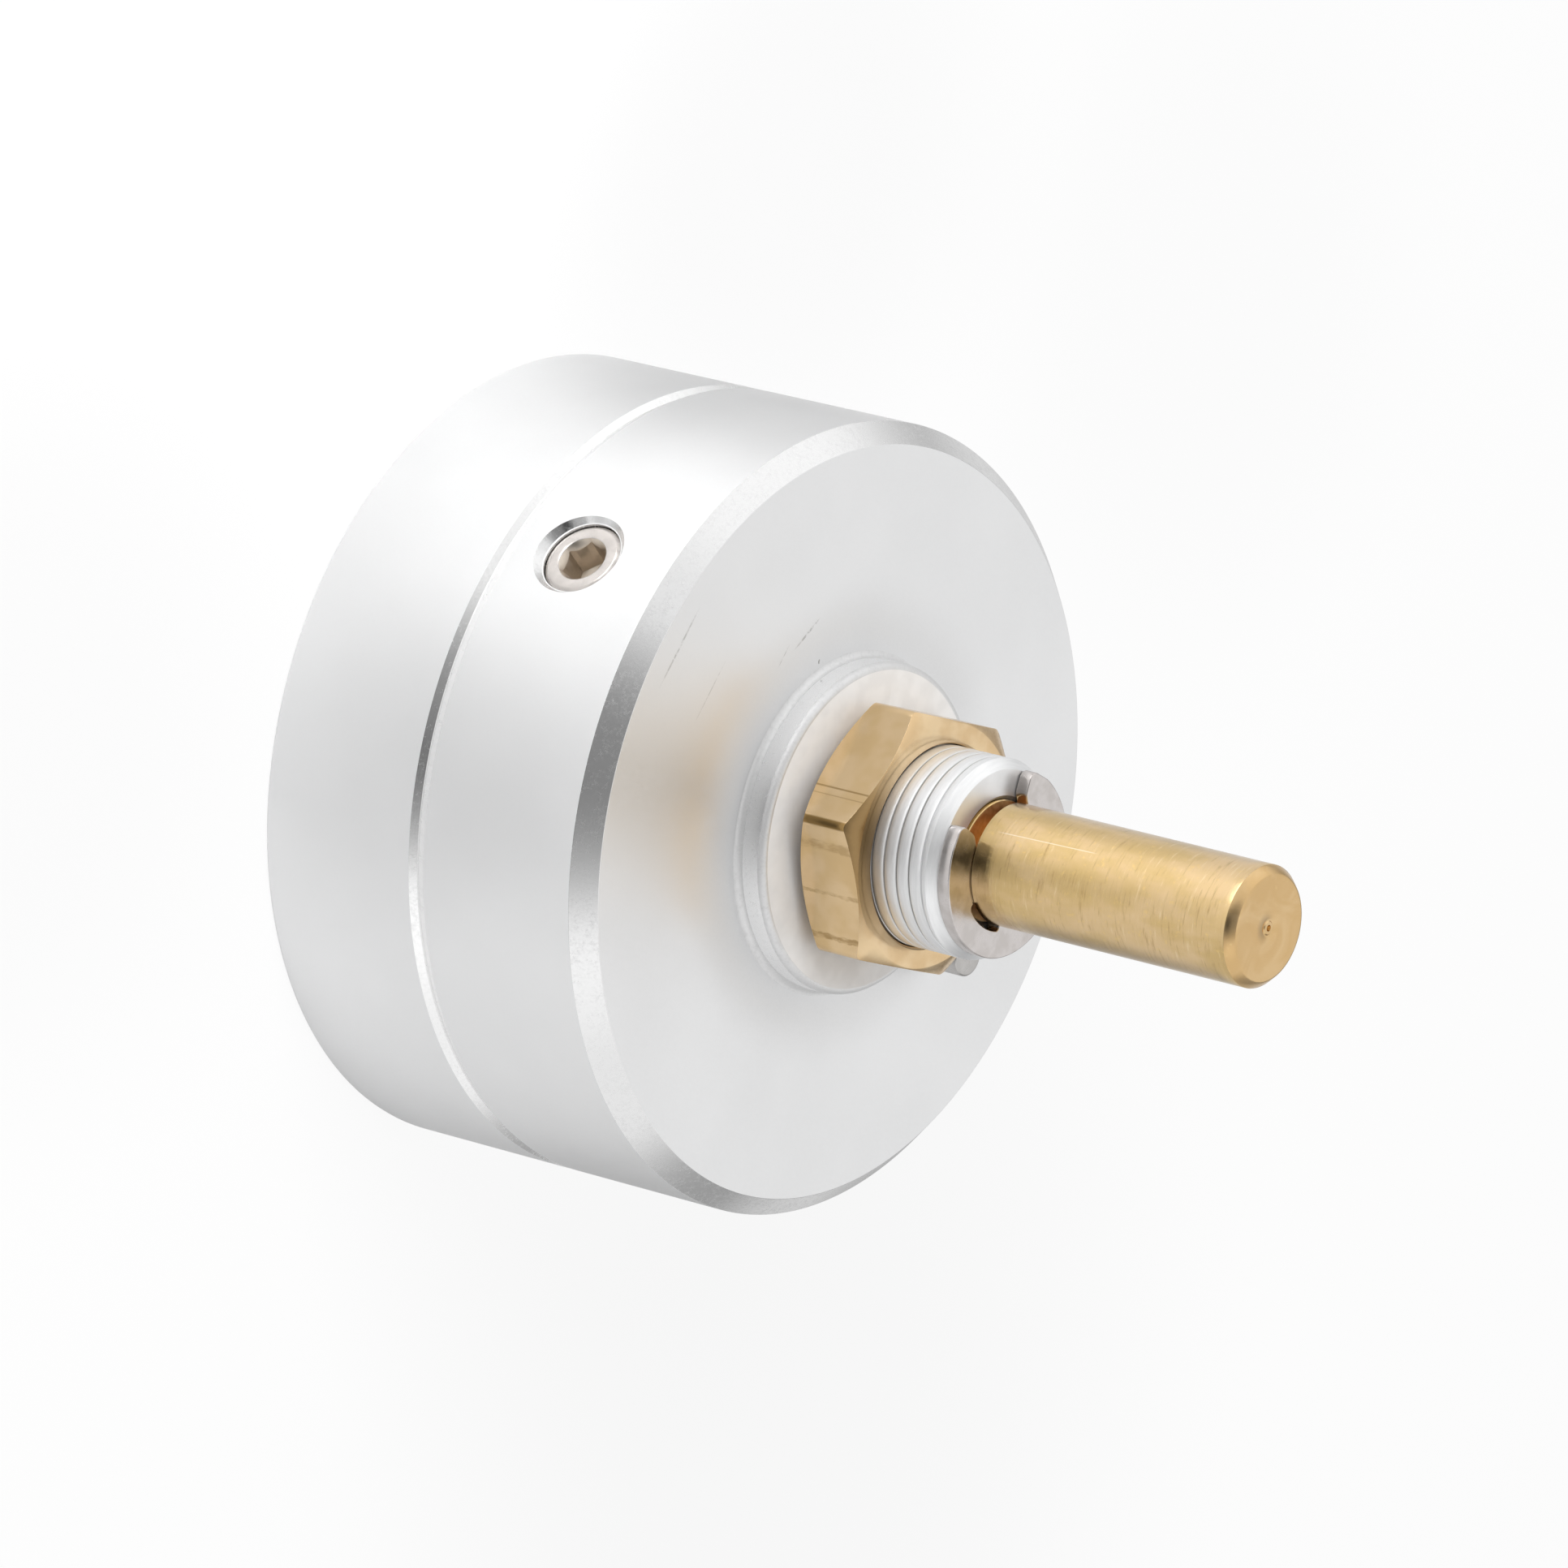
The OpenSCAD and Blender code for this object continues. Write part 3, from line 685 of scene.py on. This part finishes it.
def threaded_bush():
    """The bush, with a right-hand thread up to the chamfer at its end."""
    groove = ((0, 1), (0.025, 0.82), (0.05, 0.35), (0.075, 0.1), (0.15, 0.03), (0.32, 0.005), (0.5, 0),
              (0.68, 0.005), (0.85, 0.03), (0.925, 0.1), (0.95, 0.35), (0.975, 0.82))
    phase_z = 6.94
    phase_angle = math.radians(11)
    lead = THREAD_PITCH / TURN * (THREAD - phase_angle)
    turns_up = math.ceil((BUSH_END + 1 - phase_z) / THREAD_PITCH)
    turns_down = math.ceil((phase_z + 2) / THREAD_PITCH) + 1
    count = len(THREAD)
    points = []
    rows = 0
    for turn in range(-turns_down, turns_up + 1):
        for part, deep in groove:
            r = BUSH_R - THREAD_DEPTH * deep
            z = phase_z + THREAD_PITCH * (turn + part) + lead
            points.extend(zip(r * np.cos(THREAD), r * np.sin(THREAD), z))
            rows += 1
    per_turn = len(groove)
    faces = []
    for i in range(rows - 1):
        for k in range(count - 1):
            a = i * count + k
            faces.append((a, a + 1, a + 1 + count, a + count))
        if i + per_turn + 1 < rows:
            a, b = i * count + count - 1, (i + per_turn) * count
            faces.append((a, b, b + count, a + count))
    bottom = [i * count for i in range(per_turn, -1, -1)] + list(range(1, count))
    top_start = (rows - 1 - per_turn) * count + count - 1
    top = [top_start + i * count for i in range(per_turn + 1)]
    top = [(rows - 1) * count + k for k in range(count)] + top[-2::-1]
    points.append((0, 0, phase_z - THREAD_PITCH * turns_down))
    points.append((0, 0, phase_z + THREAD_PITCH * (turns_up + 1)))
    for loop, tip in ((bottom[::-1], len(points) - 2), (top, len(points) - 1)):
        for a, b in zip(loop, loop[1:] + loop[:1]):
            faces.append((a, b, tip))
    screw = add_object("thread", points, faces)
    outer = BUSH_R + BUSH_CHAMFER
    envelope = revolve("envelope", rounded([
        (0, -0.8, 0), (outer, -0.8, 0), (outer, BUSH_END - BUSH_CHAMFER - 0.45, 0),
        (BUSH_R - BUSH_CHAMFER, BUSH_END, 0.06), (0, BUSH_END, 0),
    ], closed=False), THREAD)
    return combine(screw, envelope, "INTERSECT")


def plug(r, z_low, z_high, x, y=0.0):
    """A plain round tool for cutting a hole along Z."""
    tool = revolve("seat", [(0, z_low), (r, z_low), (r, z_high), (0, z_high)], spread(48))
    tool.data.transform(Matrix.Translation((x * MM, y * MM, 0)))
    return tool


def screw_hole(side):
    """The tool for a set screw's hole through the skirt, countersunk at its mouth."""
    bore, mouth = SCREW_R + 0.02, SCREW_R + 0.08
    beyond, slope = 1.5, 0.8
    tool = revolve("hole", [
        (0, SKIRT_R - 1), (bore, SKIRT_R - 1), (bore, SCREW_END - 0.02),
        (mouth, SCREW_END), (mouth + beyond * slope, SCREW_END + beyond), (0, SCREW_END + beyond),
    ], ROUND)
    return along_x(tool, side)


def front_housing():
    """Front half of the case: wall, panel seat, threaded bush and skirt, with every hole in them."""
    obj = revolve("housing_front", rounded([
        (0, WALL_Z, 0), (SKIRT_R, WALL_Z, 0), (SKIRT_R, SEAM_Z, 0.1),
        (BODY_R - SEAM_STEP, SEAM_Z, 0.01), (BODY_R - SEAM_STEP, SEAM_Z + SEAM_LAND, 0.03),
        (BODY_R, SEAM_Z + SEAM_LAND, 0.03),
        (BODY_R, FACE_Z - EDGE_CHAMFER, 0.06), (BODY_R - EDGE_CHAMFER, FACE_Z, 0.06),
        (SEAT_R, FACE_Z, SEAT_FILLET), (SEAT_R, 0, SEAT_FILLET), (0, 0, 0),
    ], closed=False), FINE)
    combine(obj, threaded_bush(), "UNION")
    bore = revolve("bore", [
        (0, WALL_Z - 1), (BORE_R, WALL_Z - 1), (BORE_R, BUSH_END - 0.16),
        (BORE_R + 0.17, BUSH_END), (BORE_R + 1.17, BUSH_END + 1), (0, BUSH_END + 1),
    ], ROUND)
    combine(obj, bore, "DIFFERENCE")
    for side in (1, -1):
        combine(obj, screw_hole(side), "DIFFERENCE")
    combine(obj, plug(PIN_SHANK_R, pin_low[2], 1, PIN_X), "DIFFERENCE")
    for x, y, r, z_high in SEATS:
        combine(obj, plug(r, WALL_Z - 1, z_high, x, y), "DIFFERENCE")
    return weld(obj)


def front_faces(middle, normal):
    """Satin, but for the chamfers, the seam, the screw holes, the seat and its wall, and the bush."""
    across = math.hypot(middle.x, middle.y)
    if across < BUSH_R + 0.35 and middle.z > 0.01:
        return BUSH
    sloping = 0.35 < abs(normal.z) < 0.92
    if sloping and across > BODY_R - EDGE_CHAMFER - 0.1:
        return CUT
    if across < SEAT_R + 0.4 and middle.z > FACE_Z + 0.001:
        # Up at the seat, the last and almost level strip of the rounded edge counts as seat
        level = 0.99 if middle.z > FACE_Z + 0.5 else 1
        # The rounded edges get a darker copy of the turned finish (painted shade), the wall a lighter one
        # (painted light).
        if 0.04 < normal.z < level:
            return EDGE_PAINTED_SHADE
        return SEAT if normal.z > 0.3 else WALL_PAINTED_LIGHT
    if across > BODY_R - 0.4 and middle.z < SEAM_Z + SEAM_LAND - 0.05:
        return SEAM
    near_screw = abs(middle.y) < 2.5 and abs(middle.z - SCREW_Z) < 2.5
    through_skirt = SKIRT_R + 0.1 < across and abs(middle.x) < BODY_R - 0.02 and abs(normal.x) < 0.97
    return CUT if near_screw and through_skirt else SATIN


def rear_cover():
    """Rear half of the case: a cup with a spigot inside the skirt, and the recess for the grommet."""
    hole = OUTLET_R + 2
    recess = OUTLET_R + 4
    return revolve("housing_rear", rounded([
        (hole, CUP_FLOOR_Z, 0.1), (hole, RECESS_Z, 0), (recess, RECESS_Z, 0), (recess, REAR_Z, 0.12),
        (BODY_R, REAR_Z, 0.25), (BODY_R, SEAM_Z - SEAM_GAP - SEAM_CHAMFER, 0.03),
        (BODY_R - SEAM_CHAMFER, SEAM_Z - SEAM_GAP, 0.03), (BODY_R - SEAM_CHAMFER, SEAM_Z, 0.01),
        (SPIGOT_R, SEAM_Z, 0), (SPIGOT_R, SPIGOT_END, 0.2),
        (CAVITY_R, SPIGOT_END, 0.1), (CAVITY_R, CUP_FLOOR_Z, 0.3),
    ]), FINE)


def rear_faces(middle, normal):
    """Satin, but for the chamfer at the seam."""
    across = math.hypot(middle.x, middle.y)
    return SEAM if middle.z > SEAM_Z - 0.5 and BODY_R - 0.4 < across < BODY_R - 0.01 else SATIN


def outlet_grommet():
    """Rubber grommet, with soft edges all over."""
    flange, neck, lip = OUTLET_R + 3.9, OUTLET_R + 1.95, OUTLET_R + 3.2
    low, high = grommet_low[2], grommet_high[2]
    return revolve("outlet_grommet", rounded([
        (OUTLET_R, low, 0.45), (flange, low, 0.3), (flange, RECESS_Z, 0.1),
        (neck, RECESS_Z, 0.1), (neck, CUP_FLOOR_Z, 0.1), (lip, CUP_FLOOR_Z, 0.15),
        (OUTLET_R + 2.8, high, 0.3), (OUTLET_R, high, 0.35),
    ]), spread(160))


# ---------------------------------------------------------------- fasteners

HEX_STEP = TURN / 6


def hexagon(angles, apothem, corner, turn=0.0):
    """Radius of a hexagon at each angle. One corner is at the turn angle, and all are rounded."""
    half = HEX_STEP / 2
    off = np.abs((angles - turn + half) % HEX_STEP - half)
    flat = apothem / np.cos(half - off)
    middle = (apothem - corner) / math.cos(half)
    reach = half - math.atan(math.tan(half) * (apothem - corner) / apothem)
    arc = middle * np.cos(off) + np.sqrt(np.maximum(corner ** 2 - (middle * np.sin(off)) ** 2, 0))
    return np.where(off < reach, arc, flat)


def hexagon_angles(turn, fine, coarse):
    """Angles for a hexagon's columns: close together at its corners, wider along its flats."""
    reach = 0.045
    near = np.linspace(-reach, reach, fine)
    far = np.linspace(reach, HEX_STEP - reach, coarse + 2)[1:-1]
    side = np.concatenate([near, far])
    return np.sort(np.concatenate([turn + k * HEX_STEP + side for k in range(6)]))


def hex_nut():
    """Brass nut, chamfered on both faces, its bore countersunk."""
    turn = math.radians(NUT_TURN)
    angles = hexagon_angles(turn, 13, 20)
    outside = hexagon(angles, NUT_AF / 2, 0.5, turn)
    low, high = nut_low[2], nut_high[2]
    face_r = NUT_AF / 2 - 0.07
    bore_r = BUSH_R + 0.05
    rear_slope, front_slope, soft = 0.58, 0.53, 0.015
    front_edge = high - front_slope * (outside - face_r)
    rear_edge = low + rear_slope * (outside - face_r)
    return revolve("nut", [
        (bore_r, low + 0.3), (bore_r + 0.3, low), (face_r - 0.04, low), (face_r, low + 0.005),
        (outside - soft, rear_edge - soft * rear_slope), (outside - soft / 4, rear_edge + soft / 4),
        (outside, rear_edge + soft), (outside, front_edge - soft),
        (outside - soft / 4, front_edge - soft / 4), (outside - soft, front_edge + soft * front_slope),
        (face_r, high - 0.005), (face_r - 0.03, high),
        (bore_r + 0.12, high), (bore_r + 0.1, high - 0.01), (bore_r, high - 0.12),
    ], angles)


def nut_faces(middle, normal):
    """Drawn flats; the faces, the chamfers and the bore are turned."""
    turned = abs(normal.z) > 0.3 or math.hypot(middle.x, middle.y) < BUSH_R + 0.55
    return NUT_FACE if turned else NUT_BRASS


def set_screw(name, side):
    """Cup-point grub screw with a hexagon socket in a wide countersink."""
    angles = hexagon_angles(0.0, 3, 6)
    inside = hexagon(angles, SOCKET_AF / 2, 0.03)
    tip, top, mouth = SPIGOT_R, SCREW_END, SOCKET_MOUTH_R
    wall_top = top - 0.12 - (mouth - inside) * 1.3
    bottom = top - 1.9
    obj = revolve(name, [
        (0, tip + 0.5), (1.1, tip + 0.02), (1.25, tip), (1.6, tip + 0.05), (1.95, tip + 0.4),
        (SCREW_R, tip + 0.5), (SCREW_R, top - 0.24), (1.99, top - 0.2), (1.8, top - 0.04),
        (1.74, top - 0.03), (1.6, top), (1.54, top), (mouth + 0.05, top - 0.05), (mouth, top - 0.08),
        (inside + 0.03, wall_top + 0.02), (inside, wall_top - 0.03), (inside, bottom + 0.03),
        (0.93, bottom), (0, bottom - 0.4),
    ], angles)
    obj.data.transform(Matrix.Rotation(math.radians(SOCKET_TURN), 4, "Z"))
    return along_x(obj, side)


def socket_faces(middle, normal):
    """The socket's inside, below its countersink, has a finish of its own."""
    across = math.hypot(middle.y, middle.z - SCREW_Z)
    in_socket = across < SOCKET_MOUTH_R + 0.01 and abs(middle.x) > SKIRT_R + 0.6
    return SOCKET_STEEL if in_socket else SCREW_STEEL


def locating_pin():
    """Steel pin on the front face, with a broken edge."""
    low, high = pin_low[2], pin_high[2]
    obj = revolve("locator", rounded([
        (0, low, 0), (PIN_SHANK_R, low, 0.1), (PIN_SHANK_R, FACE_Z, 0), (PIN_R, FACE_Z, 0.03),
        (PIN_R, high, 0.13), (0, high, 0),
    ], closed=False), spread(64))
    obj.data.transform(Matrix.Translation((PIN_X * MM, 0, 0)))
    return obj


def shaft():
    """Brass shaft: grooves for both clips, a flat along its inner end, a chamfered and centred tip."""
    angles = spread(192)
    low, high = shaft_low[2], shaft_high[2]
    flat_top = WHEEL_FRONT_Z
    flatted = np.where(np.cos(angles) * SHAFT_R > FLAT_X, FLAT_X / np.maximum(np.cos(angles), 0.1), SHAFT_R)
    tail = np.minimum(flatted, SHAFT_R - 0.4)
    groove, play, soft = 0.74, 0.02, 0.05
    inner = INNER_CLIP_Z - play
    outer = clip_low[2] - play
    return revolve("spindle_shaft", [
        (0, low), (tail, low), (flatted, low + 0.4), (flatted, inner), (GROOVE_R, inner),
        (GROOVE_R, inner + groove), (flatted, inner + groove), (flatted, flat_top),
        (SHAFT_R - 0.001, flat_top), (SHAFT_R, flat_top + 0.3),
        (SHAFT_R, outer - soft), (SHAFT_R - soft, outer), (GROOVE_R, outer), (GROOVE_R, outer + groove),
        (SHAFT_R - soft, outer + groove), (SHAFT_R, outer + groove + soft), (SHAFT_R, outer + groove + 1.5),
        (SHAFT_R, high - 1.2), (SHAFT_R, high - 0.47), (SHAFT_R - 0.015, high - 0.43),
        (SHAFT_R - 0.36, high - 0.03), (SHAFT_R - 0.41, high - 0.003), (SHAFT_R - 0.48, high),
        (2.3, high - 0.004), (0.98, high - 0.03), (0.5, high - 0.03), (0.44, high - 0.06),
        (0.36, high - 0.06), (0.3, high - 0.01), (0.16, high - 0.01), (0.1, high - 0.2), (0, high - 0.24),
    ], angles)


def shaft_faces(middle, normal):
    """The shaft's end face and its front clip's groove have their own finishes."""
    across = math.hypot(middle.x, middle.y)
    if middle.z > shaft_high[2] - 0.5 and across < SHAFT_R - 0.05:
        return BRASS_END
    return GROOVE_BRASS if across < SHAFT_R - 0.06 and abs(middle.z - CLIP_Z) < 0.5 else BRASS


def retaining_clip(name, low, turn):
    """Stamped clip with a wide mouth and rounded prongs, gripping the groove at three places."""
    half_mouth = 75 / 2
    relief_start, relief_end = 103, 153
    relief_r = SHAFT_R + 0.3
    prong_r = relief_r + 0.07
    grip_r = GROOVE_R + 0.05

    def polar(r, degrees, fillet=0.0):
        a = math.radians(degrees)
        return (r * math.cos(a), r * math.sin(a), fillet)

    prong_in = math.degrees(math.asin(grip_r / prong_r))
    half = [polar(CLIP_R, a) for a in range(180, 50, -5)]
    half += [polar(CLIP_R, half_mouth, 0.42), polar(prong_r, prong_in, 0.5)]
    half += [(0.9, grip_r, 0), polar(grip_r, 90), polar(grip_r, 97), polar(grip_r, relief_start, 0.15)]
    half += [polar(relief_r, relief_start, 0.2)]
    half += [polar(relief_r, a) for a in range(relief_start + 8, relief_end - 4, 6)]
    half += [polar(relief_r, relief_end, 0.2), polar(grip_r, relief_end, 0.15)]
    half += [polar(grip_r, a) for a in range(relief_end + 7, 180, 6)] + [polar(grip_r, 180)]
    other = [(x, -y, fillet) for x, y, fillet in half[-2:0:-1]]
    outline = rounded(half + other)
    count = len(outline)
    points = [(x, y, z) for z in (low, low + CLIP_T) for x, y in outline]
    faces = [(k, (k + 1) % count, count + (k + 1) % count, count + k) for k in range(count)]
    faces += [tuple(range(count - 1, -1, -1)), tuple(range(count, 2 * count))]
    obj = add_object(name, points, faces)
    obj.data.transform(Matrix.Rotation(math.radians(turn), 4, "Z"))
    face_outward(obj)
    return apply_modifiers(bevel(obj, 0.07, segments=3))


# ---------------------------------------------------------------- making the pieces

SATIN = satin_aluminium()
CUT = cut_aluminium("case_cut", 0.79, 0.15)
# The seat's wall is a lighter copy of the turned finish: painted light.
WALL_PAINTED_LIGHT = cut_aluminium("case_wall_painted_light", 0.95, 0.13)
# The seat's rounded edges are a rougher copy, darker than the wall and seat around them: painted shade.
EDGE_PAINTED_SHADE = cut_aluminium("case_edge_painted_shade", 0.79, 0.5)
SEAM = cut_aluminium("case_seam", 0.88, 0.13)
BUSH = thread_aluminium()
BRASS = shaft_brass()
BRASS_END = shaft_end_brass()
NUT_BRASS = nut_brass()
CLIP_STEEL = clip_steel()
GROOVE_BRASS = groove_brass()
NUT_FACE = nut_face_brass()
SEAT = seat_aluminium()
SCREW_STEEL = ground_steel("steel_screw", (0.66, 0.62, 0.59), 0.2)
SOCKET_STEEL = ground_steel("steel_socket", (0.76, 0.68, 0.585), 0.4)
PIN_STEEL = ground_steel("steel_pin", (0.54, 0.525, 0.51), 0.26)
RUBBER = rubber()


def make_pieces():
    finish_piece(front_housing(), "case", ["front_housing"], "case",
                 SATIN, CUT, BUSH, SEAT, WALL_PAINTED_LIGHT, EDGE_PAINTED_SHADE, SEAM, rule=front_faces)
    finish_piece(rear_cover(), "case", ["rear_cover"], "case", SATIN, SEAM, rule=rear_faces)
    finish_piece(outlet_grommet(), "case", ["cable_grommet"], "grommet_rubber", RUBBER)
    finish_piece(hex_nut(), "case", ["hex_nut"], "nut_brass", NUT_BRASS, NUT_FACE, rule=nut_faces)
    for name, side in (("set_screw_a", 1), ("set_screw_b", -1)):
        finish_piece(set_screw(name, side), "case", ["set_screws"], "screw_steel",
                     SCREW_STEEL, SOCKET_STEEL, rule=socket_faces)
    finish_piece(locating_pin(), "case", ["locating_pin"], "pin_steel", PIN_STEEL)
    finish_piece(shaft(), "spindle", ["shaft"], "shaft_brass",
                 BRASS, BRASS_END, GROOVE_BRASS, rule=shaft_faces)
    front = retaining_clip("front_clip", clip_low[2], CLIP_TURN)
    finish_piece(front, "spindle", ["retaining_clip"], "clip_steel", CLIP_STEEL)
    inner = retaining_clip("inner_clip", INNER_CLIP_Z, INNER_CLIP_TURN)
    finish_piece(inner, "spindle", ["rotor_clip"], "clip_steel", CLIP_STEEL)


# CAD nodes that keep their shape: name or start of the name, and the finish
INSIDE = {
    "thrust_washer": plain_metal("bronze_washer", (0.5, 0.3, 0.16), 0.3),
    "index_wheel": moulded("acetal_natural", (0.75, 0.72, 0.62)),
    "rotor": moulded("phenolic_ivory", (0.62, 0.55, 0.4)),
    "wiper": plain_metal("silver_wiper", (0.78, 0.73, 0.62), 0.22),
    "detent_spring": plain_metal("steel_spring", (0.5, 0.52, 0.56), 0.25),
    "spring_posts": ground_steel("steel_posts", (0.55, 0.55, 0.55)),
    "stop_pin": ground_steel("steel_stop", (0.55, 0.55, 0.55)),
    "stator_board": laminate(),
    "deck": ground_steel("steel_deck", (0.6, 0.6, 0.6)),
    "pole_ring": plain_metal("silver_ring", (0.82, 0.8, 0.76), 0.25),
    "contact": plain_metal("silver_contact", (0.82, 0.8, 0.76), 0.25),
}


def finish_inside():
    """Small round edges and a finish for every CAD node that is still shown."""
    for name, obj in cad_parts.items():
        finishes = [m for start, m in INSIDE.items() if name.startswith(start)]
        if obj.hide_render or not finishes:
            continue
        modifier = obj.modifiers.new("weld", "WELD")
        modifier.merge_threshold = 0.001 * MM
        bevel(obj, 0.04, angle=40)
        for slot in obj.material_slots:
            slot.material = finishes[0]


make_pieces()
finish_inside()


# ---------------------------------------------------------------- floor, light and camera

def shown_share(nodes, to_camera, to_metal):
    """A share for the camera's rays, one for the rays that metal and glass send on, and 0 for the rest."""
    path = nodes.node("ShaderNodeLightPath")
    rays = {"Is Camera Ray": to_camera, "Is Glossy Ray": to_metal, "Is Transmission Ray": to_metal}
    total = 0
    for kind, share in rays.items():
        total = nodes.math("MULTIPLY_ADD", path.outputs[kind], share, total, clamp=True)
    return total


# The floor is a large square just below the rear face
FLOOR_HALF = 2500
FLOOR_DROP = 0.02
FLOOR_TONE = 0.95
FLOOR_GLOW_TO_CAMERA = 0.9
FLOOR_GLOW_TO_METAL = 0.15
# Soft shades on it round the object: azimuth and distance of the middle, the distances from it at which the
# shade is full and gone, and its tone
FLOOR_SHADES = [
    (36, 38, 6, 27, 0.7), (166, 48, 8, 44, 0.46), (-78, 33, 6, 24, 0.62), (-56, 23, 2, 14, 0.88),
    (-118, 56, 8, 26, 0.8),
]


def floor_tone(nodes):
    """The floor's tone, softly shaded where the set round it was darker."""
    place = nodes.node("ShaderNodeTexCoord").outputs["Object"]
    total = FLOOR_TONE
    for azimuth, distance, full, gone, tone in FLOOR_SHADES:
        a = math.radians(azimuth)
        middle = (distance * math.cos(a) * MM, distance * math.sin(a) * MM, REAR_Z * MM)
        away = nodes.vector_math("DISTANCE", place, middle)
        total = nodes.math("MULTIPLY", nodes.ramp(away, full * MM, gone * MM, tone, 1), total)
    return total


def make_floor():
    """A plain pale floor under the rear face; it shows almost white and keeps the shadow."""
    half = FLOOR_HALF
    z = REAR_Z - FLOOR_DROP
    corners = [(-half, -half, z), (half, -half, z), (half, half, z), (-half, half, z)]
    obj = add_object("floor", corners, [(0, 1, 2, 3)])
    material = bpy.data.materials.new("floor_pale")
    material.use_nodes = True
    nodes = Nodes(material.node_tree)
    matt = nodes.tree.nodes["Principled BSDF"]
    nodes.link(floor_tone(nodes), matt.inputs["Base Color"])
    matt.inputs["Roughness"].default_value = 0.9
    matt.inputs["Specular IOR Level"].default_value = 0.1
    glow = nodes.node("ShaderNodeEmission")
    mix = nodes.node("ShaderNodeMixShader")
    nodes.link(shown_share(nodes, FLOOR_GLOW_TO_CAMERA, FLOOR_GLOW_TO_METAL), mix.inputs[0])
    nodes.link(matt.outputs[0], mix.inputs[1])
    nodes.link(glow.outputs[0], mix.inputs[2])
    nodes.link(mix.outputs[0], nodes.tree.nodes["Material Output"].inputs["Surface"])
    obj.data.materials.append(material)


# Soft patches in the white tent: azimuth and elevation of the middle, the angles from it at which the patch
# is full and gone, and what it adds
PATCHES = [
    (33, 50, 3, 38, -0.72), (48, 8, 10, 45, -0.5), (-70, 26, 8, 35, 0.2), (172, 2, 5, 40, -0.62),
    (-135, -8, 5, 46, -0.5), (80, 40, 4, 32, 0.16),
]
# How brightly the tent lights the object, where 1 is how brightly it shows
LIT = 0.6


def make_world():
    """A white tent with an opening, a brighter side and a darker foot."""
    world = bpy.data.worlds.new("studio")
    bpy.context.scene.world = world
    world.use_nodes = True
    nodes = Nodes(world.node_tree)
    direction = nodes.node("ShaderNodeTexCoord").outputs["Generated"]
    total = 1
    for azimuth, elevation, full, gone, change in PATCHES:
        near = nodes.vector_math("DOT_PRODUCT", direction, toward(azimuth, elevation))
        patch = nodes.ramp(near, math.cos(math.radians(gone)), math.cos(math.radians(full)), 0, change)
        total = nodes.math("ADD", patch, total)
    strength = nodes.math("MULTIPLY_ADD", shown_share(nodes, 1, 1), 1 - LIT, LIT)
    background = nodes.tree.nodes["Background"]
    background.inputs["Color"].default_value = (1, 1, 1, 1)
    nodes.link(nodes.math("MULTIPLY", total, strength), background.inputs["Strength"])


def softbox(name, azimuth, elevation, distance, size, power, shows=True, aim=(0, 0, 0), fan=180):
    """A rectangular area light that faces a point. It may be kept out of reflections."""
    data = bpy.data.lights.new(name, "AREA")
    data.shape = "RECTANGLE"
    data.size = size[0] * MM
    data.size_y = size[1] * MM
    data.energy = power
    data.spread = math.radians(fan)
    obj = bpy.data.objects.new(name, data)
    bpy.context.scene.collection.objects.link(obj)
    away = toward(azimuth, elevation)
    obj.location = (Vector(aim) + away * distance) * MM
    obj.rotation_mode = "QUATERNION"
    obj.rotation_quaternion = away.to_track_quat("Z", "Y")
    obj.visible_camera = False
    obj.visible_glossy = shows


# The photograph's camera: where it is, the direction from the object back to it, its roll and its lens.
# The roll makes the shaft point right and a little down.
CAMERA_PLACE = (404.13, 222.70, 337.61)
CAMERA_AZIMUTH = 29.0
CAMERA_ELEVATION = 36.646
CAMERA_ROLL = 103.81
CAMERA_LENS = 271.83


def make_camera():
    data = bpy.data.cameras.new("camera")
    data.lens = CAMERA_LENS
    data.sensor_width = 36
    data.clip_start = 0.05
    data.clip_end = 20
    obj = bpy.data.objects.new("camera", data)
    bpy.context.scene.collection.objects.link(obj)
    obj.location = Vector(CAMERA_PLACE) * MM
    back = toward(CAMERA_AZIMUTH, CAMERA_ELEVATION)
    level = Vector((0, 0, 1)).cross(back).normalized()
    roll = math.radians(CAMERA_ROLL)
    right = level * math.cos(roll) + back.cross(level) * math.sin(roll)
    up = back.cross(right)
    obj.rotation_mode = "QUATERNION"
    obj.rotation_quaternion = Matrix((right, up, back)).transposed().to_quaternion()
    bpy.context.scene.camera = obj


make_floor()
make_world()
make_camera()
softbox("key", -8, 35, 400, (250, 250), 1.2, shows=False)
softbox("pool", -28, 60, 200, (50, 50), 0.0055, shows=False, aim=(42, -20, REAR_Z), fan=24)
softbox("strip", -18, -4, 170, (120, 54), 0.052)
bpy.context.scene.view_settings.view_transform = "Standard"
